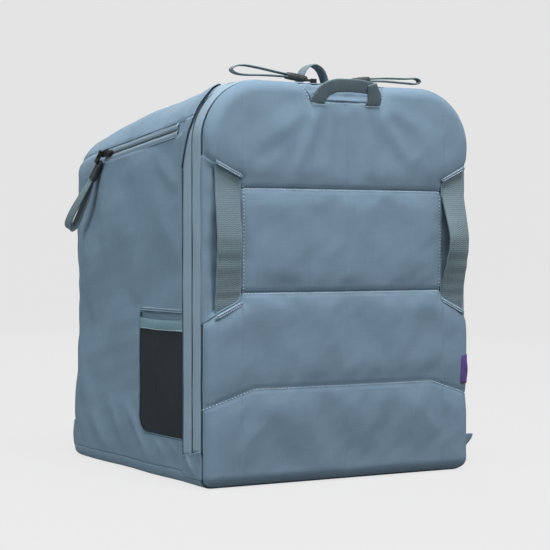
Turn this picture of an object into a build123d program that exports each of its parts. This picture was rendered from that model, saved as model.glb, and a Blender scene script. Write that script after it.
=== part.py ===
from build123d import *

import os
from math import atan2, cos, degrees, hypot, radians, sin

# Ski boot bag: an upright padded boot carrier whose tall quilted front panel zips off round its edge.
# Millimetres, +Z up. The origin is the centre of the flat base, on the ground. The quilted front panel,
# called the door, faces -Y and folds down about its bottom edge. The harness is on the +Y face.
# Every wall is a sewn sandwich of outer fabric, foam and lining, each a separate solid.

# ---------------------------------------------------------------- driving dimensions
WIDTH = 350.0
DEPTH = 370.0
HEIGHT = 450.0
REAR_HEIGHT = 402.0
TOP_R = 56.0
REAR_R = 28.0
BASE_R = 10.0

# Wall layers, as distances in from the outside
FABRIC_IN = 1.0
FOAM_OUT, FOAM_IN = 1.1, 6.1
LINING_OUT, LINING_IN = 6.2, 7.0
BOARD_T = 2.5
BOARD_GAP = 6.0

# Main zip band between the door seam and the body panels
BAND_W = 45.0
SLOT_W = 1.6
COIL_W = 3.4
COIL_OUT, COIL_IN = 1.1, 3.2
BODY_ZIP_LOW, DOOR_ZIP_LOW = 34.0, 39.0

# Seams of the body
BASE_SEAM_Z = 14.0
REAR_SEAM_Y = 160.0
TOP_SEAM_FRONT_Z = 406.5
TOP_SEAM_SLOPE = -0.105

# Door
DOOR_T = 17.0
DOOR_EDGE_R = 14.0
DOOR_LOW = 6.0
DOOR_FOOT_R = 16.0
DOOR_LINING_T = 0.8
DOOR_SHEET_T = 1.2
LAYER_GAP = 0.1
INSET_LEVEL = 9.0
INSET_X = 133.0
INSET_OUT_LOW, INSET_OUT_HIGH = 183.0, 361.0
INSET_IN_LOW, INSET_IN_HIGH = 205.5, 340.0
QUILT_LOW, QUILT_HIGH = 215.0, 330.0
TOP_INSET_Z = 429.0
TOP_INSET_HALF, TOP_INSET_HALF_HIGH = 45.0, 54.0
LABEL_LOW, LABEL_HIGH, LABEL_T = 98.5, 132.0, 0.7

# Webbing handles
GRAB_W, GRAB_T = 30.0, 2.0
GRAB_STAND_LEFT, GRAB_STAND_RIGHT = 23.0, 34.0
HAUL_W, HAUL_T = 19.0, 1.8
HAUL_LEAN = 25.0
LOOP_HALF, LOOP_RISE = 20.0, 26.0
TACK_W, TACK_T = 3.2, 0.8

# Side pocket and side zip, both on the left
POCKET_REAR_Y = -30.0
POCKET_LOW, POCKET_BAND_LOW, POCKET_BAND_HIGH, POCKET_HIGH = 45.0, 166.0, 179.0, 188.0
POCKET_LOW_R, POCKET_HIGH_R = 22.0, 8.0
POCKET_DEPTH = 4.6
SIDE_ZIP_FRONT = (-122.0, 396.5)
SIDE_ZIP_REAR = (82.0, 376.0)
SIDE_ZIP_HALF_W = 7.0
SIDE_ZIP_TILT = 10.0
SIDE_SLIDER_FROM_REAR = 13.0

# Sliders and pulls
SLIDER_L, SLIDER_W = 20.0, 8.0
PLATE_T, PLATE_GAP = 2.0, 0.35
WEB_T = 1.2
MAIN_NOSE_X = 4.0
PIN_FROM_NOSE = 15.0
PIN_HEIGHT = 5.4
PIN_R = 1.0
BAIL_L, BAIL_W = 7.0, 3.0
LINK_T, LINK_ARM_W, LINK_GAP = 2.2, 1.8, 4.0
GRIP_START, GRIP_END, PULL_END = 14.0, 37.0, 108.0
GRIP_W, GRIP_T = 10.5, 7.6
SIDE_PULL_TURN = 56.0
SIDE_PULL_LEAN = 5.0

# Harness
STRAP_TOP, STRAP_FOOT = (46.0, 334.0), (139.0, 40.0)
STRAP_W, STRAP_T, STRAP_L = 62.0, 11.0, 182.0
LOCK_L, LOCK_W, LOCK_T = 22.0, 36.0, 4.0
HARNESS_WEB_W, HARNESS_WEB_T = 25.0, 1.5
WING_T = 2.0
WING_LOW, WING_HIGH = 8.0, 44.0

# ---------------------------------------------------------------- derived positions
FRONT_Y = -DEPTH / 2
REAR_Y = DEPTH / 2
BAND_REAR_Y = FRONT_Y + BAND_W
ZIP_Y = FRONT_Y + BAND_W / 2
FACE_Y = FRONT_Y - DOOR_T
TOP_SLOPE = (REAR_HEIGHT - HEIGHT) / (REAR_Y - BAND_REAR_Y)
INSET_SLOPE = (INSET_OUT_HIGH - INSET_IN_HIGH) / (WIDTH / 2 - INSET_X)
CLEAR = 0.2
CUT = 10.0
FAR = 600.0


# ---------------------------------------------------------------- shared helpers
def seam_z(y):
    """Height of the seam between the side panels and the top panel at y."""
    return TOP_SEAM_FRONT_Z + TOP_SEAM_SLOPE * (y - BAND_REAR_Y)


def draw_arch(inset, low, lift=0.0, mode=Mode.ADD):
    """Draws the front outline in the current sketch: flat foot at low, round top corners raised by lift."""
    half, top, radius = WIDTH / 2 - inset, HEIGHT - inset + lift, TOP_R - inset
    with BuildLine() as outline:
        Polyline((-half, top - radius), (-half, low), (half, low), (half, top - radius))
        TangentArc((half, top - radius), (half - radius, top), tangent=(0, 1))
        Line((half - radius, top), (-half + radius, top))
        TangentArc((-half + radius, top), (-half, top - radius), tangent=(-1, 0))
    make_face(outline.edges(), mode=mode)


def prism(points, plane, low, high):
    """A prism over a polygon drawn on plane, from low to high along its normal."""
    with BuildPart() as block:
        with BuildSketch(plane.offset(low)):
            with BuildLine():
                Polyline(*points, close=True)
            make_face()
        extrude(amount=high - low)
    return block.part


def body_form(inset, front):
    """The body behind front as one solid, pulled in by inset. Its arch outline sinks towards the rear."""
    rear = REAR_Y - inset
    with BuildPart() as form:
        with BuildSketch(Plane.XZ.offset(-front)):
            draw_arch(inset, inset, TOP_SLOPE * (front - BAND_REAR_Y))
        extrude(amount=hypot(1, TOP_SLOPE) * (rear - front), dir=(0, 1, TOP_SLOPE))
        split(bisect_by=Plane.XY.offset(inset), keep=Keep.TOP)
        rim = form.faces().sort_by(Axis.Y)[-1].edges()
        fillet(rim.filter_by(lambda edge: edge.center().Z > inset + 1), REAR_R - inset)
        foot = form.faces().sort_by(Axis.Z)[0].edges()
        fillet(foot.filter_by(lambda edge: edge.center().Y > front + 1), BASE_R - inset)
    return form.part


def low_form(inset):
    """The foot of the body, which runs forward to the door with upright sides."""
    with BuildPart() as form:
        with BuildSketch(Plane.XY.offset(inset)) as outline:
            with Locations((0, (REAR_Y - inset + FRONT_Y + CLEAR) / 2)):
                Rectangle(WIDTH - 2 * inset, DEPTH - inset - CLEAR)
            fillet(outline.vertices().group_by(Axis.Y)[-1], REAR_R - inset)
        extrude(amount=BASE_SEAM_Z - inset)
        foot = form.faces().sort_by(Axis.Z)[0].edges()
        fillet(foot.filter_by(lambda edge: edge.center().Y > FRONT_Y + 1), BASE_R - inset)
    return form.part


def body_wall(outer, inner):
    """The body wall between two insets, above the base seam and open at the front."""
    with BuildPart() as wall:
        add(body_form(outer, BAND_REAR_Y))
        add(body_form(inner, BAND_REAR_Y - CUT), mode=Mode.SUBTRACT)
        split(bisect_by=Plane.XY.offset(BASE_SEAM_Z), keep=Keep.TOP)
    return wall.part


def base_tray(outer, inner):
    """The base layer between two insets: a shallow tray with a round lower edge, open at the front."""
    with BuildPart() as tray:
        add(low_form(outer))
        add(low_form(inner), mode=Mode.SUBTRACT)
    return tray.part


def finish(part, name):
    """Labels a piece and writes its STEP file."""
    part.label = name
    export_step(part, f"parts/{name}.step")


os.makedirs("parts", exist_ok=True)

# ---------------------------------------------------------------- side zip frame and pocket outline
def left_wall_x(y, z):
    """Position of the left face at height z, which curves inward over the shoulder of the arch."""
    above = max(0.0, z - (HEIGHT - TOP_R + TOP_SLOPE * (y - BAND_REAR_Y)))
    return -WIDTH / 2 + TOP_R - (TOP_R**2 - above**2) ** 0.5


# Local x runs down the side zip towards the rear, local y points down, local z points out of the bag.
zip_start = Vector(left_wall_x(*SIDE_ZIP_FRONT), *SIDE_ZIP_FRONT)
zip_end = Vector(left_wall_x(*SIDE_ZIP_REAR), *SIDE_ZIP_REAR)
zip_length = (zip_end - zip_start).length
zip_tilt = radians(SIDE_ZIP_TILT)
side_zip_plane = Plane(origin=zip_start, x_dir=zip_end - zip_start, z_dir=(-cos(zip_tilt), 0, sin(zip_tilt)))


def side_zip_window():
    """The opening cut through fabric and foam for the side zip, a little wider than its tapes."""
    with BuildPart() as window:
        with BuildSketch(side_zip_plane.offset(-FOAM_IN - 2)):
            with Locations((zip_length / 2, 0)):
                Rectangle(zip_length + 2 * CLEAR, 2 * (SIDE_ZIP_HALF_W + CLEAR))
        extrude(amount=FOAM_IN + 2 + CUT)
    return window.part


def pocket_block(gap, low, high, outer, inner):
    """A slab of the pocket outline, drawn in by gap, between two heights and two distances from the face."""
    with BuildPart() as block:
        with BuildSketch(Plane.YZ.offset(-WIDTH / 2 + outer)) as outline:
            front, rear = BAND_REAR_Y + gap, POCKET_REAR_Y - gap
            bottom, top = POCKET_LOW + gap, POCKET_HIGH - gap
            with BuildLine():
                Polyline((front, bottom), (rear, bottom), (rear, top), (front, top), close=True)
            make_face()
            rear_corners = outline.vertices().group_by(Axis.X)[-1].sort_by(Axis.Y)
            fillet(rear_corners[0], POCKET_LOW_R - gap)
            fillet(outline.vertices().sort_by(Axis.X)[-2:].sort_by(Axis.Y)[-1], POCKET_HIGH_R - gap)
        extrude(amount=inner - outer)
        add(prism([(-FAR, low), (FAR, low), (FAR, high), (-FAR, high)], Plane.XZ, -FAR, FAR), mode=Mode.INTERSECT)
    return block.part


# ---------------------------------------------------------------- body panels
side_profile = [
    (BAND_REAR_Y, BASE_SEAM_Z),
    (REAR_SEAM_Y, BASE_SEAM_Z),
    (REAR_SEAM_Y, seam_z(REAR_SEAM_Y)),
    (BAND_REAR_Y, seam_z(BAND_REAR_Y)),
]
top_profile = [
    (BAND_REAR_Y, seam_z(BAND_REAR_Y)),
    (REAR_SEAM_Y, seam_z(REAR_SEAM_Y)),
    (REAR_SEAM_Y, FAR),
    (BAND_REAR_Y, FAR),
]
rear_profile = [(REAR_SEAM_Y, 0), (FAR, 0), (FAR, FAR), (REAR_SEAM_Y, FAR)]

for layer, outer, inner in (("fabric", 0, FABRIC_IN), ("foam", FOAM_OUT, FOAM_IN)):
    wall = body_wall(outer, inner)

    with BuildPart() as left_side:
        add(wall)
        add(prism(side_profile, Plane.YZ, -FAR, 0), mode=Mode.INTERSECT)
        add(side_zip_window(), mode=Mode.SUBTRACT)
        add(pocket_block(0, 0, FAR, -CUT, POCKET_DEPTH), mode=Mode.SUBTRACT)
    finish(left_side.part, f"left_side_{layer}")

    with BuildPart() as right_side:
        add(wall)
        add(prism(side_profile, Plane.YZ, 0, FAR), mode=Mode.INTERSECT)
    finish(right_side.part, f"right_side_{layer}")

    with BuildPart() as top_panel:
        add(wall)
        add(prism(top_profile, Plane.YZ, -FAR, FAR), mode=Mode.INTERSECT)
    finish(top_panel.part, f"top_{layer}")

    with BuildPart() as rear_panel:
        add(wall)
        add(prism(rear_profile, Plane.YZ, -FAR, FAR), mode=Mode.INTERSECT)
    finish(rear_panel.part, f"rear_{layer}")

with BuildPart() as base_fabric:
    add(base_tray(0, FABRIC_IN))
finish(base_fabric.part, "base_fabric")

with BuildPart() as base_foam:
    add(base_tray(FOAM_OUT, FOAM_IN))
finish(base_foam.part, "base_foam")

with BuildPart() as body_lining:
    add(body_wall(LINING_OUT, LINING_IN))
    add(base_tray(LINING_OUT, LINING_IN))
finish(body_lining.part, "body_lining")

with BuildPart() as base_board:
    with BuildSketch(Plane.XY.offset(LINING_IN + LAYER_GAP)):
        board_margin = 2 * (LINING_IN + BOARD_GAP)
        RectangleRounded(WIDTH - board_margin, DEPTH - board_margin, REAR_R)
    extrude(amount=BOARD_T)
finish(base_board.part, "base_board")


# ---------------------------------------------------------------- main zip band
def arch_ring(outer, inner, rear_y, front_y, low):
    """A strip that follows the front outline between two insets, from rear_y forward to front_y."""
    with BuildPart() as ring:
        with BuildSketch(Plane.XZ.offset(-rear_y)):
            draw_arch(outer, low)
            draw_arch(inner, low - CUT, mode=Mode.SUBTRACT)
        extrude(amount=rear_y - front_y)
    return ring.part


slot_rear, slot_front = ZIP_Y + SLOT_W / 2, ZIP_Y - SLOT_W / 2
finish(arch_ring(0, FABRIC_IN, BAND_REAR_Y - LAYER_GAP, slot_rear, BODY_ZIP_LOW), "body_zip_tape")
finish(arch_ring(0, FABRIC_IN, slot_front, FRONT_Y, DOOR_ZIP_LOW), "door_zip_tape")
finish(arch_ring(COIL_OUT, COIL_IN, slot_rear + COIL_W, slot_rear, BODY_ZIP_LOW), "body_zip_coil")
finish(arch_ring(COIL_OUT, COIL_IN, slot_front, slot_front - COIL_W, DOOR_ZIP_LOW), "door_zip_coil")

# Folded fabric tabs that close the band below the zip ends.
tab_profile = [
    (FRONT_Y + CLEAR, BASE_SEAM_Z + LAYER_GAP),
    (BAND_REAR_Y - LAYER_GAP, BASE_SEAM_Z + LAYER_GAP),
    (BAND_REAR_Y - LAYER_GAP, BODY_ZIP_LOW - 5.0),
    (FRONT_Y + CLEAR, DOOR_ZIP_LOW - 1.0),
]
finish(prism(tab_profile, Plane.YZ, -WIDTH / 2, -WIDTH / 2 + FABRIC_IN), "left_zip_end_tab")
finish(prism(tab_profile, Plane.YZ, WIDTH / 2 - FABRIC_IN, WIDTH / 2), "right_zip_end_tab")

# Bound seam that the door folds on.
with BuildPart() as hinge_binding:
    with BuildSketch(Plane.YZ):
        with Locations((FRONT_Y - 5.9, DOOR_LOW / 2 + 0.1)):
            RectangleRounded(11.2, DOOR_LOW - 0.8, 2.2)
    extrude(amount=WIDTH / 2 - DOOR_FOOT_R, both=True)
finish(hinge_binding.part, "hinge_binding")

# ---------------------------------------------------------------- side pocket and side zip
finish(pocket_block(0.6, 0, FAR, 3.6, 4.4), "side_pocket_backing")
finish(pocket_block(0.3, 0, POCKET_BAND_LOW, 0.1, 1.0), "side_pocket_mesh")
finish(pocket_block(0.3, POCKET_BAND_LOW + 0.1, POCKET_BAND_HIGH, -0.4, 1.2), "side_pocket_band")


def paired_strips(length, width, low, high):
    """Two strips along the side zip, one on each side of the slot, between two levels of its frame."""
    with BuildPart() as strips:
        with BuildSketch(side_zip_plane.offset(low)):
            for edge in (-1, 1):
                with Locations((zip_length / 2, edge * (SLOT_W + width) / 2)):
                    Rectangle(length, width)
        extrude(amount=high - low)
    return strips.part


finish(paired_strips(zip_length, SIDE_ZIP_HALF_W - SLOT_W / 2, -1.0, -CLEAR), "side_zip_tape")
finish(paired_strips(zip_length - 2, COIL_W, -COIL_IN, -COIL_OUT), "side_zip_coil")


# ---------------------------------------------------------------- sliders and pulls
def slider(nose_plane, bail_turn):
    """A slider for a coil under its tape. Local x runs from nose to tail, local z out of the tape."""
    upper_low = PLATE_GAP
    lower_high = -COIL_IN - PLATE_GAP
    bail_high = PIN_HEIGHT + 2.2
    with BuildPart(nose_plane) as body:
        for low in (upper_low, lower_high - PLATE_T):
            with BuildSketch(nose_plane.offset(low)):
                with Locations((SLIDER_L / 2, 0)):
                    RectangleRounded(SLIDER_L, SLIDER_W, 2.4)
            extrude(amount=PLATE_T)
        with Locations((2.2, 0, (upper_low + lower_high) / 2)):
            Box(3.6, WEB_T, upper_low - lower_high)
        with Locations(Location((PIN_FROM_NOSE, 0, (upper_low + PLATE_T + bail_high) / 2), (0, 0, bail_turn))):
            Box(BAIL_L, BAIL_W, bail_high - upper_low - PLATE_T)
        with Locations(Location((PIN_FROM_NOSE, 0, PIN_HEIGHT), (0, 0, bail_turn)) * Location((0, 0, 0), (90, 0, 0))):
            Cylinder(PIN_R + 0.3, 2 * BAIL_L, mode=Mode.SUBTRACT)
    return body.part


def pull_link(pin_plane):
    """The cast link: a pin through the bail and two arms that meet beyond it."""
    bridge_start = BAIL_L / 2 + 4.6
    outer_w = LINK_GAP + 2 * LINK_ARM_W
    with BuildPart(pin_plane) as link:
        with Locations(Location((0, 0, 0), (90, 0, 0))):
            Cylinder(PIN_R, outer_w)
        for edge in (-1, 1):
            with Locations((bridge_start / 2, edge * (LINK_GAP + LINK_ARM_W) / 2, 0)):
                Box(bridge_start + 2, LINK_ARM_W, LINK_T)
        with Locations(((bridge_start + GRIP_START - LAYER_GAP) / 2, 0, 0)):
            Box(GRIP_START - LAYER_GAP - bridge_start, outer_w, LINK_T)
    return link.part


def pull_grip(pin_plane):
    """The moulded grip that holds the ends of the webbing loop."""
    with BuildPart(pin_plane) as grip:
        with Locations(((GRIP_START + GRIP_END) / 2, 0, 0)):
            Box(GRIP_END - GRIP_START, GRIP_W, GRIP_T)
        fillet(grip.edges(), 2.2)
    return grip.part


def pull_loop(pin_plane):
    """The webbing loop: one strip folded double, opening into an eye at its outer end."""
    web_w, web_t, eye = 9.5, 1.3, 4.5
    start = GRIP_END + LAYER_GAP
    with BuildPart() as loop:
        with BuildSketch(Plane(origin=pin_plane.origin, x_dir=pin_plane.x_dir, z_dir=-pin_plane.y_dir)):
            with BuildLine():
                upper = Spline((start, 0.9), (start + 30, 2.4), (PULL_END - eye, eye - 1))
                tip = ThreePointArc(upper @ 1, (PULL_END, 0.4), (PULL_END - eye, -eye + 2))
                Spline(tip @ 1, (start + 30, -1.6), (start, -0.9))
            trace(line_width=web_t)
        extrude(amount=web_w / 2, both=True)
    return loop.part


def make_pull(pin_plane, name):
    """Writes the three pieces of one pull. Local x of pin_plane runs from the pin to the tip."""
    finish(pull_link(pin_plane), f"{name}_pull_link")
    finish(pull_grip(pin_plane), f"{name}_pull_grip")
    finish(pull_loop(pin_plane), f"{name}_pull_loop")


for side, name in ((-1, "left_main"), (1, "right_main")):
    nose = Plane(origin=(side * MAIN_NOSE_X, ZIP_Y, HEIGHT), x_dir=(side, 0, 0), z_dir=(0, 0, 1))
    finish(slider(nose, 0), f"{name}_slider")
    pin_x = side * (MAIN_NOSE_X + PIN_FROM_NOSE)
    make_pull(Plane(origin=(pin_x, ZIP_Y, HEIGHT + PIN_HEIGHT), x_dir=(side, 0, 0), z_dir=(0, 0, 1)), name)

side_nose_at = zip_length - SIDE_SLIDER_FROM_REAR - PIN_FROM_NOSE
side_nose = Plane(
    origin=side_zip_plane.from_local_coords((side_nose_at, 0, 0)),
    x_dir=side_zip_plane.x_dir,
    z_dir=side_zip_plane.z_dir,
)
finish(slider(side_nose, SIDE_PULL_TURN), "side_slider")

# The side pull hangs in the plane of the panel, turned from the zip line, and leans out a little.
turn, lean = radians(SIDE_PULL_TURN), radians(SIDE_PULL_LEAN)
hang = side_zip_plane.x_dir * cos(turn) + side_zip_plane.y_dir * sin(turn)
across = side_zip_plane.y_dir * cos(turn) - side_zip_plane.x_dir * sin(turn)
pull_dir = hang * cos(lean) + side_zip_plane.z_dir * sin(lean)
side_pin = side_zip_plane.from_local_coords((side_nose_at + PIN_FROM_NOSE, 0, PIN_HEIGHT))
make_pull(Plane(origin=side_pin, x_dir=pull_dir, z_dir=pull_dir.cross(across)), "side")


# ---------------------------------------------------------------- door
def door_form(inset, back, front, edge_r=0.0):
    """The door pad as one solid between two depths outside the door seam, with its front rim rounded."""
    with BuildPart() as form:
        with BuildSketch(Plane.XZ.offset(-FRONT_Y + back)) as outline:
            draw_arch(inset, DOOR_LOW + inset)
            fillet(outline.vertices().group_by(Axis.Y)[0], DOOR_FOOT_R - inset)
        extrude(amount=front - back)
        if edge_r:
            fillet(form.faces().sort_by(Axis.Y)[0].edges(), edge_r)
    return form.part


def door_prism(points, back=-1.0, front=DOOR_T + 1.0):
    """A prism through the door over a polygon of (x, z) points, between two depths outside the seam."""
    return prism(points, Plane.XZ, -FRONT_Y + back, -FRONT_Y + front)


def inset_points(side, gap=0.0):
    """Outline of the flat inset behind one grab handle, drawn in by gap."""
    out_x, in_x = side * WIDTH, side * (INSET_X + gap)
    reach = INSET_SLOPE * (WIDTH - INSET_X)
    return [
        (out_x, INSET_IN_HIGH + reach - gap),
        (in_x, INSET_IN_HIGH - gap),
        (in_x, INSET_IN_LOW + gap),
        (out_x, INSET_IN_LOW - reach + gap),
    ]


top_inset = [
    (-TOP_INSET_HALF_HIGH, HEIGHT + 1),
    (-TOP_INSET_HALF, TOP_INSET_Z),
    (TOP_INSET_HALF, TOP_INSET_Z),
    (TOP_INSET_HALF_HIGH, HEIGHT + 1),
]
insets = (("left_handle", inset_points(-1)), ("right_handle", inset_points(1)), ("top_handle", top_inset))
panels = (("upper", QUILT_HIGH, FAR), ("middle", QUILT_LOW, QUILT_HIGH), ("lower", -FAR, QUILT_LOW))

with BuildPart() as door_skin:
    add(door_form(0, 0, DOOR_T, DOOR_EDGE_R))
    add(door_form(FABRIC_IN, -1, DOOR_T - FABRIC_IN, DOOR_EDGE_R - FABRIC_IN), mode=Mode.SUBTRACT)
    for name, outline in insets:
        add(door_prism(outline), mode=Mode.SUBTRACT)
for name, low, high in panels:
    with BuildPart() as door_panel:
        add(door_skin.part)
        add(door_prism([(-FAR, low), (FAR, low), (FAR, high), (-FAR, high)]), mode=Mode.INTERSECT)
    finish(door_panel.part, f"door_{name}_fabric")

for name, outline in insets:
    with BuildPart() as handle_inset:
        add(door_form(0, INSET_LEVEL - FABRIC_IN, INSET_LEVEL))
        add(door_prism(outline), mode=Mode.INTERSECT)
    finish(handle_inset.part, f"{name}_inset")

sheet_back = DOOR_LINING_T + LAYER_GAP
foam_back = sheet_back + DOOR_SHEET_T + LAYER_GAP
with BuildPart() as door_foam:
    add(door_form(FOAM_OUT, foam_back, DOOR_T - FOAM_OUT, DOOR_EDGE_R - FOAM_OUT))
    for name, outline in insets:
        add(door_prism(outline, INSET_LEVEL - FABRIC_IN - LAYER_GAP), mode=Mode.SUBTRACT)
finish(door_foam.part, "door_foam")
finish(door_form(FOAM_IN, sheet_back, sheet_back + DOOR_SHEET_T), "door_frame_sheet")
finish(door_form(FOAM_OUT, 0, DOOR_LINING_T), "door_lining")

# ---------------------------------------------------------------- door handles, bar tacks and label
grab_foot = -FRONT_Y + INSET_LEVEL + GRAB_T / 2 + CLEAR
seam_reach = INSET_SLOPE * (GRAB_W / 2)
foot_low, foot_high = INSET_IN_LOW - seam_reach, INSET_IN_HIGH + seam_reach
for side, name, stand in ((-1, "left", GRAB_STAND_LEFT), (1, "right", GRAB_STAND_RIGHT)):
    strip_low = min(side * (INSET_X + 1), side * (INSET_X + 1 + GRAB_W))
    with BuildPart() as grab_handle:
        with BuildSketch(Plane.YZ.offset(strip_low)):
            with BuildLine():
                Line((-grab_foot, INSET_OUT_LOW), (-grab_foot, foot_low))
                crown = (FRONT_Y - stand, (foot_low + foot_high) / 2)
                ThreePointArc((-grab_foot, foot_low), crown, (-grab_foot, foot_high))
                Line((-grab_foot, foot_high), (-grab_foot, INSET_OUT_HIGH))
            trace(line_width=GRAB_T)
        extrude(amount=GRAB_W)
        add(door_prism(inset_points(side, 0.4), INSET_LEVEL, FAR), mode=Mode.INTERSECT)
    finish(grab_handle.part, f"{name}_grab_handle")

# The haul handle is one folded strip of webbing: two feet, two slanting legs and a straight grip.
haul_plane = Plane(
    origin=(0, FACE_Y - 1.3, TOP_INSET_Z + 1.5),
    x_dir=(1, 0, 0),
    z_dir=(0, -cos(radians(HAUL_LEAN)), -sin(radians(HAUL_LEAN))),
)
haul_half = [(15, 11.5), (22, 8), (26, 0), (45, 0), (41, 15), (27, 27)]
haul_arch = [*haul_half, *[(-x, y) for x, y in reversed(haul_half)]]
with BuildPart() as door_haul_handle:
    with BuildSketch(haul_plane):
        with BuildLine():
            Polyline(*haul_arch, close=True)
        make_face()
    extrude(amount=HAUL_T / 2, both=True)
finish(door_haul_handle.part, "door_haul_handle")

# Bar tacks: short satin-stitched bars along the seams that hold the webbing ends.
tack_bars = [(side * (26 + HAUL_W / 2), TOP_INSET_Z - TACK_W, 0.0, HAUL_W) for side in (-1, 1)]
for side in (-1, 1):
    for seam_corner, rise in ((foot_high, 1), (foot_low, -1)):
        slant = side * rise * degrees(atan2(INSET_SLOPE, 1))
        tack_bars.append((side * (INSET_X + 1 + GRAB_W / 2), seam_corner + rise * TACK_W, slant, GRAB_W - 4))
with BuildPart() as handle_bar_tacks:
    with BuildSketch(Plane.XZ.offset(-FACE_Y + LAYER_GAP)):
        for x, z, slant, length in tack_bars:
            with Locations(Location((x, z), slant)):
                SlotOverall(length, TACK_W)
    extrude(amount=TACK_T)
finish(handle_bar_tacks.part, "handle_bar_tacks")

with BuildPart() as woven_label:
    with BuildSketch(Plane.XY.offset(LABEL_LOW)):
        with BuildLine():
            rim_centre = (WIDTH / 2 - DOOR_EDGE_R, FACE_Y + DOOR_EDGE_R)
            CenterArc(rim_centre, DOOR_EDGE_R + 0.2 + LABEL_T / 2, -71, 52)
        trace(line_width=LABEL_T)
    extrude(amount=LABEL_HIGH - LABEL_LOW)
finish(woven_label.part, "woven_label")

# ---------------------------------------------------------------- body haul loop
with BuildPart() as body_haul_loop:
    with BuildSketch(Plane.XZ.offset(-BAND_REAR_Y - 2)):
        with BuildLine():
            foot_z = HEIGHT + 0.6
            crown_z = foot_z + LOOP_RISE - HAUL_T / 2
            Spline(
                (-LOOP_HALF, foot_z),
                (0, crown_z),
                (LOOP_HALF, foot_z),
                tangents=((-0.2, 1), (-0.2, -1)),
            )
        trace(line_width=HAUL_T)
    extrude(amount=-HAUL_W)
finish(body_haul_loop.part, "body_haul_loop")

# ---------------------------------------------------------------- harness on the rear face
run_x, run_z = STRAP_FOOT[0] - STRAP_TOP[0], STRAP_FOOT[1] - STRAP_TOP[1]
run = hypot(run_x, run_z)
strap_rise = STRAP_T / 2 + 0.8
lock_rise = strap_rise + 1.0
lock_start = STRAP_L + 1.5
web_start = lock_start + LOCK_L + 0.4
wing_y = REAR_Y + 12.0


def strap_frame(side):
    """Frame of one shoulder strap: local x runs down it, local y points away from the bag."""
    down = (side * run_x / run, 0, run_z / run)
    return Plane(origin=(side * STRAP_TOP[0], REAR_Y, STRAP_TOP[1]), x_dir=down, z_dir=(-down[2], 0, down[0]))


def strap_strip(side, points, thickness, width):
    """A strip of the harness whose centre line passes through points of the strap frame."""
    with BuildPart() as strip:
        with BuildSketch(strap_frame(side)):
            with BuildLine():
                Spline(*points)
            trace(line_width=thickness)
        extrude(amount=width / 2, both=True)
    return strip.part


strap_path = [
    (0, strap_rise),
    (STRAP_L * 0.3, strap_rise + 9),
    (STRAP_L * 0.7, strap_rise + 9),
    (STRAP_L, strap_rise + 1),
]
web_path = [(web_start, lock_rise), ((web_start + run) / 2, lock_rise + 1), (run - 4, wing_y - REAR_Y)]
for side, name in ((-1, "left"), (1, "right")):
    frame = strap_frame(side)
    with BuildPart() as shoulder_strap:
        add(strap_strip(side, strap_path, STRAP_T, STRAP_W))
        long_edges = shoulder_strap.edges().filter_by(GeomType.BSPLINE)
        fillet(long_edges, 3.0)
    finish(shoulder_strap.part, f"{name}_shoulder_strap")

    with BuildPart(frame) as ladder_lock:
        with Locations((lock_start + LOCK_L / 2, lock_rise, 0)):
            Box(LOCK_L, LOCK_T, LOCK_W)
        for slot_at in (5.5, 11.0, 16.5):
            with Locations((lock_start + slot_at, lock_rise, 0)):
                Box(3.0, 2 * LOCK_T, HARNESS_WEB_W + 2, mode=Mode.SUBTRACT)
    finish(ladder_lock.part, f"{name}_ladder_lock")
    finish(strap_strip(side, web_path, HARNESS_WEB_T, HARNESS_WEB_W), f"{name}_strap_webbing")

with BuildPart() as strap_yoke:
    with BuildSketch(Plane.XZ.offset(-REAR_Y - CLEAR)):
        with Locations((0, STRAP_TOP[1] + 22)):
            RectangleRounded(170, 18, 4)
    extrude(amount=-2.0)
finish(strap_yoke.part, "strap_yoke")

# The wings: doubled triangles of fabric sewn into the side seams, each pulled round a rear corner.
corner_x, corner_y = WIDTH / 2 - REAR_R, REAR_Y - REAR_R
with BuildPart() as strap_wings:
    for side in (-1, 1):
        with BuildSketch(Plane.XY.offset(WING_LOW)):
            with BuildLine():
                Spline(
                    (side * (WIDTH / 2 + WING_T / 2 + 0.3), corner_y - 6),
                    (side * (corner_x + 0.72 * (REAR_R + 5)), corner_y + 0.72 * (REAR_R + 5)),
                    (side * (corner_x - 4), wing_y),
                    tangents=((0, 1), (-side, 0.15)),
                )
            trace(line_width=WING_T)
    extrude(amount=WING_HIGH - WING_LOW)
finish(strap_wings.part, "strap_wings")
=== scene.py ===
import math

import bpy
import numpy as np
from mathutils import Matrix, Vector


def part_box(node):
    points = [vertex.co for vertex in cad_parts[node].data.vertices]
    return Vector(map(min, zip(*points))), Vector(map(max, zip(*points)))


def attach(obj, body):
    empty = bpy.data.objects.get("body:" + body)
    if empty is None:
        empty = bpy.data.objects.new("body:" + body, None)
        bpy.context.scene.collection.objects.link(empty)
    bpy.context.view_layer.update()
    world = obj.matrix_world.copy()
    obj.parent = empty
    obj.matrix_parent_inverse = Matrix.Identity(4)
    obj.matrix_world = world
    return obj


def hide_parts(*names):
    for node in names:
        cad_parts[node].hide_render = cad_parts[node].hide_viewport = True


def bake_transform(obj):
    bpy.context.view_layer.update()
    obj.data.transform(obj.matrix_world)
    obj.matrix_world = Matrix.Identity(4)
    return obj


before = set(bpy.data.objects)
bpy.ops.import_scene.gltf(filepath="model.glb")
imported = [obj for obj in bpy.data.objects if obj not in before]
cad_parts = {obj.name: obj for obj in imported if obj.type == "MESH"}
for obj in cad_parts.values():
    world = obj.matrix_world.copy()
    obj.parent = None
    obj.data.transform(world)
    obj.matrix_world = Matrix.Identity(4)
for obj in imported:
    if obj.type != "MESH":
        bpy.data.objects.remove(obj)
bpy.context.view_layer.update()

# ---------------------------------------------------------------- dimensions, in millimetres
# read from the boxes of CAD nodes where those show them, and otherwise the part's own values
MM = 0.001
SIDES = ((-1, "left"), (1, "right"))


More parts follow.
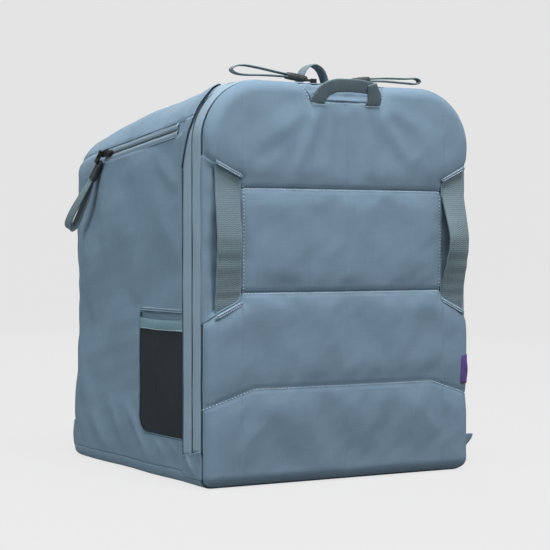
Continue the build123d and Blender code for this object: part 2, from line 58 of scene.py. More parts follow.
def node_box(node):
    """Lowest and highest corner of a CAD node, in millimetres."""
    low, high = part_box(node)
    return np.array(low) / MM, np.array(high) / MM


door_low, door_high = node_box("door_upper_fabric")
quilt_low, quilt_high = node_box("door_middle_fabric")
band_low, band_high = node_box("body_zip_tape")
door_tape_low, door_tape_high = node_box("door_zip_tape")
rear_low, rear_high = node_box("rear_fabric")

HALF = door_high[0]
TOP = door_high[2]
FACE_Y, SEAM_Y = door_low[1], door_high[1]
DOOR_T = SEAM_Y - FACE_Y
DOOR_FOOT = 2.0
BAND_Y = round(band_high[1])
REAR_Y = rear_high[1]
REAR_SEAM_Y = rear_low[1]
BASE_SEAM_Z = rear_low[2]
BODY_SLOT_Y, DOOR_SLOT_Y = band_low[1], door_tape_high[1]
BODY_ZIP_LOW, DOOR_ZIP_LOW = band_low[2], door_tape_low[2]
REAR_TOP = 402.0
TOP_R, REAR_R = 56.0, 28.0
SOFT_R = 69.0
DOOR_EDGE_R, DOOR_FOOT_R = 14.0, 13.0
TOP_SLOPE = (REAR_TOP - TOP) / (REAR_Y - BAND_Y)
TOP_SEAM_FRONT_Z, TOP_SEAM_SLOPE = 406.5, -0.105
QUILT_X = quilt_high[0]
QUILT_LOW, QUILT_HIGH = quilt_low[2], quilt_high[2]
INSET_LOW, INSET_HIGH = 205.5, 340.0
INSET_SLOPE = 0.5
INSET_LEVEL = 9.0
TOP_INSET_Z = 429.0
TOP_INSET_FOOT, TOP_INSET_RUN, TOP_INSET_RISE = 45, 9, 21
POCKET_LOW, POCKET_BAND_LOW, POCKET_BAND_HIGH, POCKET_HIGH = 49.5, 170.0, 183.0, 191.5
POCKET_REAR_Y = -30.0


# ---------------------------------------------------------------- small numeric helpers
def smooth(x, low, high):
    """0 below low, 1 above high and an S curve between."""
    t = np.clip((x - low) / (high - low), 0, 1)
    return t * t * (3 - 2 * t)


def bell(x, width):
    """A bump of height 1 at 0 that is down to 0.37 at width."""
    return np.exp(-((x / width) ** 2))


def segment_distance(x, z, a, b):
    """Distance in the plane from (x, z) to the segment a-b."""
    dx, dz = b[0] - a[0], b[1] - a[1]
    t = np.clip(((x - a[0]) * dx + (z - a[1]) * dz) / (dx * dx + dz * dz), 0, 1)
    return np.hypot(x - a[0] - t * dx, z - a[1] - t * dz)


RIPPLE_WAVES = 7


def ripples(x, z, seed, wavelength):
    """Soft unevenness of height about 1, from a few sine waves in fixed random directions."""
    rng = np.random.RandomState(seed)
    total = 0
    for _ in range(RIPPLE_WAVES):
        angle, phase = rng.uniform(0, 2 * math.pi, 2)
        k = 2 * math.pi / (wavelength * rng.uniform(0.7, 1.5))
        total = total + np.sin((x * math.cos(angle) + z * math.sin(angle)) * k + phase)
    return total / math.sqrt(RIPPLE_WAVES)


def fold(x, z, start, end, width, height):
    """One soft fold: a ridge along the segment start-end that fades out at both ends."""
    dx, dz = end[0] - start[0], end[1] - start[1]
    length = math.hypot(dx, dz)
    along = ((x - start[0]) * dx + (z - start[1]) * dz) / length
    across = ((x - start[0]) * dz - (z - start[1]) * dx) / length
    fade = smooth(along, -0.1 * length, 0.25 * length) * (1 - smooth(along, 0.5 * length, 1.1 * length))
    return height * fade * bell(across, width)


def least(first, *others):
    """The smallest of several distances, point by point."""
    for other in others:
        first = np.minimum(first, other)
    return first


def unit(vectors):
    """Rows of vectors scaled to length 1."""
    return vectors / np.linalg.norm(vectors, axis=1)[:, None]


def squarish(wave, power):
    """A sine or cosine with flatter tops, which turns a circle into a rounded rectangle."""
    return np.sign(wave) * np.abs(wave) ** power


# ---------------------------------------------------------------- mesh helpers
def new_object(name, verts, faces, material, grain=None):
    """An object from vertices in millimetres, smooth shaded, with its cloth grain stored as an attribute."""
    mesh = bpy.data.meshes.new(name)
    mesh.from_pydata((np.asarray(verts) * MM).tolist(), [], [list(map(int, f)) for f in faces])
    mesh.polygons.foreach_set("use_smooth", [True] * len(mesh.polygons))
    if grain is not None:
        attribute = mesh.attributes.new("grain", "FLOAT_VECTOR", "POINT")
        attribute.data.foreach_set("vector", np.asarray(grain, np.float32).ravel())
    mesh.validate()
    mesh.update()
    made = bpy.data.objects.new(name, mesh)
    bpy.context.scene.collection.objects.link(made)
    mesh.materials.append(material)
    return made


def grid_faces(rows, cols, closed=False):
    """Quads of a rows x cols grid of vertices, wrapped round in the column direction if closed."""
    i = np.arange(rows - 1)[:, None]
    j = np.arange(cols if closed else cols - 1)[None, :]
    k = (j + 1) % cols
    a, b = i * cols + j, i * cols + k
    return np.stack([a, b, b + cols, a + cols], -1).reshape(-1, 4)


def capped_faces(rows, cols):
    """Faces of a tube of rows rings with cols vertices each, closed by a cap at each end."""
    first, last = list(range(cols))[::-1], [(rows - 1) * cols + i for i in range(cols)]
    return grid_faces(rows, cols, True).tolist() + [first, last]


def grid_points(x, y, z):
    """Points (..., 3) from coordinates that may be a row, a column, a full grid or a number."""
    return np.stack(np.broadcast_arrays(x, y, z), -1)


def sheet(name, points, grain, material, outward):
    """One face of cloth from a grid of outer-surface points, facing roughly outward."""
    rows, cols, _ = points.shape
    faces = grid_faces(rows, cols)
    verts = points.reshape(-1, 3)
    corner = verts[faces[:, 0]]
    normals = np.cross(verts[faces[:, 1]] - corner, verts[faces[:, 3]] - corner)
    if np.dot(normals.sum(axis=0), outward) < 0:
        faces = faces[:, ::-1]
    return new_object(name, verts, faces, material, grain)


def thicken(piece, thickness):
    """Gives a cloth face real thickness behind it."""
    solid = piece.modifiers.new("thickness", "SOLIDIFY")
    solid.thickness = thickness * MM
    solid.offset = -1
    return piece


CLOTH_FRAMES, SETTLE_PASSES = 11, 14


def settle(shift, pinned):
    """Averages a grid of small moves with their neighbours, so that no crumple is finer than the cloth."""
    for _ in range(SETTLE_PASSES):
        padded = np.pad(shift, ((1, 1), (1, 1), (0, 0)), mode="edge")
        beside = padded[2:, 1:-1] + padded[:-2, 1:-1] + padded[1:-1, 2:] + padded[1:-1, :-2]
        shift = np.where(pinned[..., None], 0, 0.5 * shift + 0.125 * beside)
    return shift


def puff(piece, pinned, pressure, loosen, cap):
    """Lets a sewn sheet swell and wrinkle between its pinned stitch lines, with Blender's cloth solver.

    No point moves by more than cap millimetres.
    """
    scene = bpy.context.scene
    count = len(piece.data.vertices)
    rest = np.empty(count * 3)
    piece.data.vertices.foreach_get("co", rest)
    seams = piece.vertex_groups.new(name="seams")
    seams.add(np.flatnonzero(np.asarray(pinned).ravel()).tolist(), 1.0, "REPLACE")
    solver = piece.modifiers.new("cloth", "CLOTH")
    solver.settings.vertex_group_mass = "seams"
    solver.settings.quality = 4
    solver.settings.use_pressure = True
    solver.settings.uniform_pressure_force = pressure
    solver.settings.shrink_min = -loosen
    solver.settings.effector_weights.gravity = 0
    solver.collision_settings.use_collision = False
    solver.collision_settings.use_self_collision = False
    solver.point_cache.frame_end = CLOTH_FRAMES
    for step in range(1, CLOTH_FRAMES + 1):
        scene.frame_set(step)
    moved = np.empty(count * 3)
    piece.evaluated_get(bpy.context.evaluated_depsgraph_get()).data.vertices.foreach_get("co", moved)
    piece.modifiers.remove(solver)
    shift = (moved - rest).reshape(-1, 3)
    length = np.linalg.norm(shift, axis=1)[:, None]
    shift *= np.minimum(1, cap * MM / np.maximum(length, 1e-9))
    if pinned.ndim == 2:
        shift = settle(shift.reshape(*pinned.shape, 3), pinned)
    piece.data.vertices.foreach_set("co", rest + shift.ravel())
    piece.data.update()
    scene.frame_set(1)
    return piece


def cat_grain(u, v, seed=0.0):
    """Cloth grain coordinates in millimetres along the two thread directions."""
    u, v = np.broadcast_arrays(u, v)
    return np.stack([u, v, np.full(u.shape, seed)], -1).reshape(-1, 3)


def sweep(section, path, sides, ups):
    """Vertices and faces of a closed section (n, 2) carried along path (m, 3), with a cap at each end."""
    rows = [p + section[:, :1] * s + section[:, 1:] * u for p, s, u in zip(path, sides, ups)]
    return np.concatenate(rows), capped_faces(len(path), len(section))


def resample(points, step):
    """Points along a polyline or curve at an even spacing."""
    points = np.asarray(points, float)
    gaps = np.linalg.norm(np.diff(points, axis=0), axis=1)
    at = np.concatenate([[0], np.cumsum(gaps)])
    count = max(2, int(round(at[-1] / step)) + 1)
    t = np.linspace(0, at[-1], count)
    return np.stack([np.interp(t, at, points[:, k]) for k in range(3)], -1), t


def along_line(points, shares):
    """Points at the given shares of the length of a polyline."""
    run = np.concatenate([[0], np.cumsum(np.linalg.norm(np.diff(points, axis=0), axis=1))])
    return np.stack([np.interp(shares * run[-1], run, points[:, k]) for k in range(3)], -1)


def curve_through(knots, per_span=16):
    """A Catmull-Rom curve through the knots."""
    k = np.asarray(knots, float)
    k = np.vstack([2 * k[0] - k[1], k, 2 * k[-1] - k[-2]])
    out = []
    for i in range(1, len(k) - 2):
        t = np.linspace(0, 1, per_span, endpoint=False)[:, None]
        p0, p1, p2, p3 = k[i - 1], k[i], k[i + 1], k[i + 2]
        square = (2 * p0 - 5 * p1 + 4 * p2 - p3) * t**2
        cube = (3 * p1 - p0 - 3 * p2 + p3) * t**3
        out.append(0.5 * (2 * p1 + (p2 - p0) * t + square + cube))
    return np.vstack(out + [k[-2][None]])


def webbing(name, knots, widths_dir, width, thickness, material, step=1.5, smooth_path=True):
    """A flat woven strap: a rounded flat section swept along knots, its width along widths_dir."""
    path = curve_through(knots) if smooth_path else np.asarray(knots, float)
    path, t = resample(path, step)
    tangent = unit(np.gradient(path, axis=0))
    wide = np.asarray(widths_dir, float)
    if wide.ndim == 2:
        share, knot_share = t / t[-1], np.linspace(0, 1, len(wide))
        wide = np.stack([np.interp(share, knot_share, wide[:, k]) for k in range(3)], -1)
    wide = unit(wide - tangent * np.sum(wide * tangent, axis=1)[:, None])
    up = np.cross(tangent, wide)
    half, thick = width / 2, thickness / 2
    across = np.linspace(-1, 1, 13)
    edge = thick * (1 - np.abs(across) ** 6 * 0.75)
    top = np.stack([across * half, edge], -1)
    under = np.stack([across[::-1] * half, -edge[::-1]], -1)
    section = np.vstack([top, under])
    verts, faces = sweep(section, path, wide, up)
    grain = np.concatenate([cat_grain(section[:, 0] + width, np.full(len(section), d)) for d in t])
    return new_object(name, verts, faces, material, grain)


def capsules(name, centres, alongs, outs, length, radius, material, humped=0.0):
    """Many short rounded rods in one mesh: sewing stitches, zip teeth or bar tacks."""
    profile = np.array([0.3, 0.92, 1.0, 0.92, 0.3]) * radius
    spots = np.linspace(-0.5, 0.5, 5)
    angles = np.arange(6) * math.pi / 3
    alongs = unit(alongs)
    sides = unit(np.cross(alongs, outs))
    ups = np.cross(sides, alongs)
    spine = centres[:, None] + alongs[:, None] * (spots * length)[None, :, None]
    spine = spine + ups[:, None] * (humped * radius * (0.5 - 4 * spots**2))[None, :, None]
    around = sides[:, None] * np.cos(angles)[None, :, None] + ups[:, None] * np.sin(angles)[None, :, None]
    verts = spine[:, :, None] + around[:, None] * profile[None, :, None, None]
    template = capped_faces(len(spots), len(angles))
    per_rod = len(spots) * len(angles)
    faces = [[v + per_rod * k for v in face] for k in range(len(centres)) for face in template]
    return new_object(name, verts.reshape(-1, 3), faces, material)


def stitches(name, runs, material, length=2.5, gap=1.2, radius=0.42):
    """Sewing thread: short rounded stitches along runs of (points, outward direction)."""
    centres, alongs, outs = [], [], []
    for points, outward in runs:
        path, _ = resample(points, (length + gap) / 2)
        mids = np.arange(1, len(path) - 1, 2)
        centres.append(path[mids])
        alongs.append(path[mids + 1] - path[mids - 1])
        outs.append(np.broadcast_to(np.asarray(outward, float), path[mids].shape))
    return capsules(
        name, np.vstack(centres), np.vstack(alongs), np.vstack(outs), length, radius, material, humped=1.0
    )


def tube(name, points, radius, material):
    """A round cord along points, for bound edges and piping."""
    path, _ = resample(points, 2.0)
    tangent = unit(np.gradient(path, axis=0))
    guess = np.array([0.31, 0.57, 0.76])
    side = unit(np.cross(tangent, guess))
    up = np.cross(tangent, side)
    turns = np.arange(8) * math.pi / 4
    section = np.stack([np.cos(turns), np.sin(turns)], -1) * radius
    verts, faces = sweep(section, path, side, up)
    return new_object(name, verts, faces, material)


def join(name, pieces):
    """Joins objects into one object."""
    bpy.ops.object.select_all(action="DESELECT")
    for piece in pieces:
        piece.select_set(True)
    bpy.context.view_layer.objects.active = pieces[0]
    bpy.ops.object.join()
    pieces[0].name = name
    return pieces[0]


def dress(piece, body, slot, *nodes):
    """Rides a piece on its body and hides the CAD nodes it stands for."""
    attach(piece, body)
    if nodes:
        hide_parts(*nodes)
    return piece


# ---------------------------------------------------------------- materials
def srgb(*rgb):
    """Linear colour from 0-255 sRGB values."""
    out = []
    for value in rgb:
        c = value / 255
        out.append(c / 12.92 if c <= 0.04045 else ((c + 0.055) / 1.055) ** 2.4)
    return (*out, 1.0)


class Nodes:
    """A thin wrapper that adds shader nodes and links them."""

    def __init__(self, name):
        self.material = bpy.data.materials.new(name)
        self.material.use_nodes = True
        self.tree = self.material.node_tree
        self.bsdf = self.tree.nodes["Principled BSDF"]

    def add(self, kind, settings=None, **inputs):
        """A new node with settings and inputs; the inputs i0, i1 and so on go by number."""
        node = self.tree.nodes.new(kind)
        for key, value in (settings or {}).items():
            setattr(node, key, value)
        for key, value in inputs.items():
            self.set(node, key, value)
        return node

    def set(self, node, key, value):
        """Links a socket to an input, or gives the input a plain value."""
        socket = node.inputs[int(key[1:]) if key[0] == "i" and key[1:].isdigit() else key]
        if isinstance(value, bpy.types.NodeSocket):
            self.tree.links.new(value, socket)
        else:
            socket.default_value = value

    def math(self, operation, a, b=0.0):
        """The result of one arithmetic step."""
        return self.add("ShaderNodeMath", {"operation": operation}, i0=a, i1=b).outputs[0]

    def ramp(self, fac, stops):
        """A colour ramp through (position, colour) stops."""
        node = self.add("ShaderNodeValToRGB", Fac=fac)
        ramp = node.color_ramp
        while len(ramp.elements) < len(stops):
            ramp.elements.new(0.5)
        for element, (at, colour) in zip(ramp.elements, stops):
            element.position, element.color = at, colour
        return node.outputs["Color"]

    def noise(self, vector, scale, detail):
        """Soft fractal noise between 0 and 1."""
        node = self.add("ShaderNodeTexNoise", Scale=scale, Detail=detail, Roughness=0.55)
        self.set(node, "Vector", vector)
        return node.outputs["Fac"]

    def scaled(self, vector, x, y, z):
        """Coordinates stretched along each axis."""
        node = self.add("ShaderNodeMapping")
        self.set(node, "Vector", vector)
        node.inputs["Scale"].default_value = (x, y, z)
        return node.outputs["Vector"]


def grain_vector(n, use_attribute):
    """The cloth grain stored on the mesh, or the object's own coordinates, in millimetres."""
    if use_attribute:
        return n.add("ShaderNodeAttribute", {"attribute_name": "grain"}).outputs["Vector"]
    coordinates = n.add("ShaderNodeTexCoord").outputs["Object"]
    return n.scaled(coordinates, 1000, 1000, 1000)


def woven(name, colour, pitch, contrast, bump=0.25, sheen=0.12, attribute=True, slub=0.10):
    """Plain woven cloth: crossing threads, uneven slubs, soft colour clouds and a fibre sheen."""
    n = Nodes(name)
    grain = grain_vector(n, attribute)
    split = n.add("ShaderNodeSeparateXYZ", Vector=grain)
    turn = math.pi / pitch
    warp = n.math("SINE", n.math("MULTIPLY", split.outputs["X"], turn))
    weft = n.math("SINE", n.math("MULTIPLY", split.outputs["Y"], turn))
    weave = n.math("MULTIPLY", n.math("MULTIPLY", warp, weft), 0.5)
    along = n.noise(n.scaled(grain, 0.05, 1.3, 0.4), 1.0, 3.0)
    across = n.noise(n.scaled(grain, 1.3, 0.05, 0.4), 1.0, 3.0)
    slubs = n.math("SUBTRACT", n.math("ADD", along, across), 1.0)
    clouds = n.noise(n.scaled(grain, 0.02, 0.02, 0.02), 1.0, 3.0)
    value = n.math("ADD", n.math("MULTIPLY", weave, contrast), n.math("MULTIPLY", slubs, slub * 3))
    value = n.math("ADD", value, n.math("MULTIPLY", n.math("SUBTRACT", clouds, 0.5), 0.22))
    level = n.math("ADD", value, 0.5)
    dark = tuple(c * 0.62 for c in colour[:3]) + (1.0,)
    light = tuple(min(1.0, c * 1.38) for c in colour[:3]) + (1.0,)
    n.set(n.bsdf, "Base Color", n.ramp(level, [(0.0, dark), (0.5, colour), (1.0, light)]))
    n.set(n.bsdf, "Roughness", n.math("ADD", n.math("MULTIPLY", slubs, 0.2), 0.85))
    n.set(n.bsdf, "Specular IOR Level", 0.25)
    n.set(n.bsdf, "Sheen Weight", sheen)
    n.set(n.bsdf, "Sheen Roughness", 0.45)
    n.set(n.bsdf, "Sheen Tint", tuple(min(1.0, c * 1.6 + 0.1) for c in colour[:3]) + (1.0,))
    height = n.math("ADD", n.math("MULTIPLY", weave, 0.7), n.math("MULTIPLY", slubs, 0.8))
    bump_node = n.add("ShaderNodeBump", Height=height, Strength=bump, Distance=0.0006)
    n.set(n.bsdf, "Normal", bump_node.outputs["Normal"])
    return n.material


def strapping(name, colour, pitch):
    """Heavy webbing: rows of angled ribs across the strap, darker between the ribs."""
    n = Nodes(name)
    grain = grain_vector(n, True)
    split = n.add("ShaderNodeSeparateXYZ", Vector=grain)
    zigzag = n.math("PINGPONG", split.outputs["X"], 3.0)
    slanted = n.math("ADD", split.outputs["Y"], n.math("MULTIPLY", zigzag, 0.45))
    ribs = n.math("SINE", n.math("MULTIPLY", slanted, 2 * math.pi / pitch))
    threads = n.math("SINE", n.math("MULTIPLY", split.outputs["X"], 2 * math.pi / 1.5))
    fuzz = n.noise(n.scaled(grain, 0.9, 0.9, 0.9), 1.0, 3.0)
    bands = n.noise(n.scaled(grain, 0.01, 0.09, 0.01), 1.0, 2.0)
    value = n.math("ADD", n.math("MULTIPLY", ribs, 0.11), n.math("MULTIPLY", threads, 0.04))
    value = n.math("ADD", value, n.math("MULTIPLY", n.math("SUBTRACT", fuzz, 0.5), 0.25))
    value = n.math("ADD", value, n.math("MULTIPLY", n.math("SUBTRACT", bands, 0.5), 0.35))
    dark = tuple(c * 0.6 for c in colour[:3]) + (1.0,)
    light = tuple(min(1.0, c * 1.4) for c in colour[:3]) + (1.0,)
    level = n.math("ADD", value, 0.5)
    n.set(n.bsdf, "Base Color", n.ramp(level, [(0.0, dark), (0.5, colour), (1.0, light)]))
    n.set(n.bsdf, "Roughness", 0.78)
    n.set(n.bsdf, "Specular IOR Level", 0.3)
    n.set(n.bsdf, "Sheen Weight", 0.1)
    bump_node = n.add("ShaderNodeBump", Height=n.math("ADD", ribs, threads), Strength=0.5, Distance=0.0004)
    n.set(n.bsdf, "Normal", bump_node.outputs["Normal"])
    return n.material


def moulded(name, colour, roughness=0.42, metallic=0.0):
    """Moulded plastic or painted casting, with a fine grain and slightly worn gloss."""
    n = Nodes(name)
    point = grain_vector(n, False)
    fine = n.noise(point, 2.2, 2.0)
    cloud = n.noise(n.scaled(point, 0.15, 0.15, 0.15), 1.0, 3.0)
    light = tuple(min(1.0, c * 1.7 + 0.006) for c in colour[:3]) + (1.0,)
    n.set(n.bsdf, "Base Color", n.ramp(cloud, [(0.3, colour), (0.75, light)]))
    n.set(n.bsdf, "Roughness", n.math("ADD", n.math("MULTIPLY", cloud, 0.25), roughness - 0.1))
    n.set(n.bsdf, "Metallic", metallic)
    bump_node = n.add("ShaderNodeBump", Height=fine, Strength=0.18, Distance=0.0003)
    n.set(n.bsdf, "Normal", bump_node.outputs["Normal"])
    return n.material


SHELL = woven("shell_cloth", srgb(99, 120, 137), pitch=1.0, contrast=0.16)
TAPE = woven("zip_tape_cloth", srgb(119, 138, 152), pitch=0.8, contrast=0.18, slub=0.05, sheen=0.15)
LINING = woven("lining_cloth", srgb(62, 66, 71), pitch=0.8, contrast=0.12, sheen=0.12)
POCKET_BAND = woven("elastic_band", srgb(98, 125, 136), pitch=1.6, contrast=0.25, slub=0.05)
MESH = woven("stretch_mesh", srgb(33, 39, 44), pitch=1.1, contrast=0.5, bump=0.5, sheen=0.0, slub=0.12)
LABEL = woven("label_cloth", srgb(78, 58, 118), pitch=0.7, contrast=0.35, bump=0.3, sheen=0.1)
SHELL_PLAIN = woven("shell_edge", srgb(100, 121, 137), pitch=1.0, contrast=0.16, attribute=False)
STRAP_CLOTH = woven("strap_cloth", srgb(90, 112, 129), pitch=1.0, contrast=0.16, attribute=False)
THREAD = woven("sewing_thread", srgb(172, 187, 196), pitch=0.6, contrast=0.3, attribute=False)
DARK_THREAD = woven("seam_thread", srgb(70, 90, 106), pitch=0.6, contrast=0.3, attribute=False)
# painted shade: the colour of the dark cords laid in the grooves beside the main zip tape
SEAM_SHADE = woven("painted_seam_shade", srgb(52, 68, 80), pitch=0.6, contrast=0.2, attribute=False)
WEBBING = strapping("webbing_weave", srgb(94, 112, 120), pitch=2.4)
COIL = moulded("coil_nylon", srgb(50, 58, 64), roughness=0.55)
METAL = moulded("slider_paint", srgb(24, 26, 29), roughness=0.34, metallic=0.35)
PLASTIC = moulded("grip_plastic", srgb(30, 33, 37), roughness=0.46)


# ---------------------------------------------------------------- the body surface
def arch(s, inset=0.0, lift=0.0):
    """Point and outward normal (x, z, nx, nz) on the arch at arc length s from the top centre."""
    radius = np.maximum(TOP_R - inset, 0.01)
    flat = HALF - TOP_R
    quarter = TOP_R * math.pi / 2
    side, a = np.sign(s), np.abs(s)
    angle = np.clip((a - flat) / TOP_R, 0, math.pi / 2)
    down = np.maximum(a - flat - quarter, 0)
    x = np.where(a <= flat, a, flat + radius * np.sin(angle))
    z = TOP + lift - TOP_R + radius * np.cos(angle) - down
    nx, nz = np.sin(angle), np.cos(angle)
    return x * side, z, nx * side, nz


def arch_at_height(z, lift=0.0):
    """Arc length s (on the right side) where the arch is at height z."""
    flat, quarter = HALF - TOP_R, TOP_R * math.pi / 2
    above = z - (TOP + lift - TOP_R)
    on_arc = flat + TOP_R * np.arccos(np.clip(above / TOP_R, 0, 1))
    return np.where(above > 0, on_arc, flat + quarter - above)


def corner_drop(s):
    """How far a shoulder slumped to SOFT_R lies under the plain arch."""
    x, z, nx, nz = arch(s)
    rx, rz = np.abs(x) - (HALF - SOFT_R), z - (TOP - SOFT_R)
    reach = rx * np.abs(nx) + rz * nz
    drop = reach - np.sqrt(np.maximum(reach**2 - rx**2 - rz**2 + SOFT_R**2, 0))
    return np.where((rx > 0) & (rz > 0), drop, 0)


def top_lift(y):
    """How far the top of the body at depth y lies over its front end: below zero, as it falls to the rear."""
    return TOP_SLOPE * (y - BAND_Y)


def slump(y):
    """Share of the shoulder slump at depth y: whole at the front, none further back."""
    return 1 - smooth(y, -60, 40)


def body_surface(s, y, inset, bulge):
    """Points of the body's tube at arc length s and depth y, raised along the normal by bulge."""
    lift = top_lift(y)
    x, z, nx, nz = arch(s, inset, lift)
    bulge = bulge - corner_drop(s) * slump(y)
    return grid_points(x + nx * bulge, y, z + nz * bulge)


# ---------------------------------------------------------------- pads: the door and the rear panel
def outline_distance(x, z, half, top, foot, top_r, foot_r):
    """Distance inside an outline with round corners, and the inward direction."""
    centre_z, half_z = (top + foot) / 2, (top - foot) / 2
    radius = np.where(z > centre_z, top_r, foot_r)
    qx = np.abs(x) - (half - radius)
    qz = np.abs(z - centre_z) - (half_z - radius)
    ax, az = np.maximum(qx, 0), np.maximum(qz, 0)
    corner = np.hypot(ax, az)
    outside = corner + np.minimum(np.maximum(qx, qz), 0) - radius
    in_corner = (qx > 0) & (qz > 0)
    safe = np.maximum(corner, 1e-6)
    gx = np.where(in_corner, ax / safe, np.where(qx > qz, 1.0, 0.0)) * np.sign(x)
    gz = np.where(in_corner, az / safe, np.where(qx > qz, 0.0, 1.0)) * np.sign(z - centre_z)
    return -outside, -gx, -gz


class Pad:
    """A padded panel drawn flat in (x, z). Material near its rim rolls over a round edge to the seam."""

    def __init__(self, half, top, foot, top_r, foot_r, wall, edge_r, start=0.0):
        self.half, self.top, self.foot = half, top, foot
        self.top_r, self.foot_r = top_r, foot_r
        self.wall, self.edge_r, self.start = wall, edge_r, start
        self.length = wall + edge_r * (math.pi / 2 - start)
        self.grow = self.length - (edge_r - self.inset_at(start))

    def inset_at(self, angle):
        """How far the edge has curved in from the wall at an angle round its radius."""
        return self.edge_r * (1 - math.cos(angle))

    def edge_z(self, x):
        """Foot and top of the flat drawing at x."""
        half, top, foot = self.half + self.grow, self.top + self.grow, self.foot - self.grow
        tr, fr = self.top_r + self.grow, self.foot_r + self.grow
        over_t = np.clip((np.abs(x) - (half - tr)) / tr, 0, 1)
        over_f = np.clip((np.abs(x) - (half - fr)) / fr, 0, 1)
        return foot + fr * (1 - np.sqrt(1 - over_f**2)), top - tr * (1 - np.sqrt(1 - over_t**2))

    def place(self, x, z, height):
        """True (x, z), depth from the seam plane, and the way the surface faces, for a flat drawing point."""
        m, ix, iz = outline_distance(
            x, z, self.half + self.grow, self.top + self.grow, self.foot - self.grow,
            self.top_r + self.grow, self.foot_r + self.grow,
        )
        m = np.maximum(m, 0)
        angle = np.clip((m - self.wall) / self.edge_r + self.start, self.start, math.pi / 2)
        inset = np.where(m < self.length, self.edge_r * (1 - np.cos(angle)), 0)
        inset = np.where(m < self.wall, self.inset_at(self.start), inset)
        depth = np.where(m < self.wall, m, self.wall + self.edge_r * (np.sin(angle) - math.sin(self.start)))
        shift = np.where(m < self.length, inset - m + self.grow, 0)
        out, facing = np.cos(angle), np.sin(angle)
        px = x + ix * (shift - out * height)
        pz = z + iz * (shift - out * height)
        return px, pz, depth + facing * height, m


door_pad = Pad(HALF, TOP, DOOR_FOOT, SOFT_R, DOOR_FOOT_R, DOOR_T - DOOR_EDGE_R, DOOR_EDGE_R)


def inset_edge(x, rise):
    """Height of the upper (rise 1) or lower (rise -1) seam of the side handle insets at x."""
    over = np.maximum(np.abs(x) - QUILT_X, 0)
    return (INSET_HIGH if rise > 0 else INSET_LOW) + rise * INSET_SLOPE * over


def top_inset_half(z):
    """Half width of the haul handle's inset at height z; it widens upwards."""
    return TOP_INSET_FOOT + (z - TOP_INSET_Z) * TOP_INSET_RUN / TOP_INSET_RISE


# the lowest quilt line: level across the middle, falling towards both rims
LOW_Z, LOW_END_Z = 109.0, 87.0
LOW_QUILT = [(-186, LOW_END_Z), (-118, LOW_Z), (118, LOW_Z), (186, LOW_END_Z)]


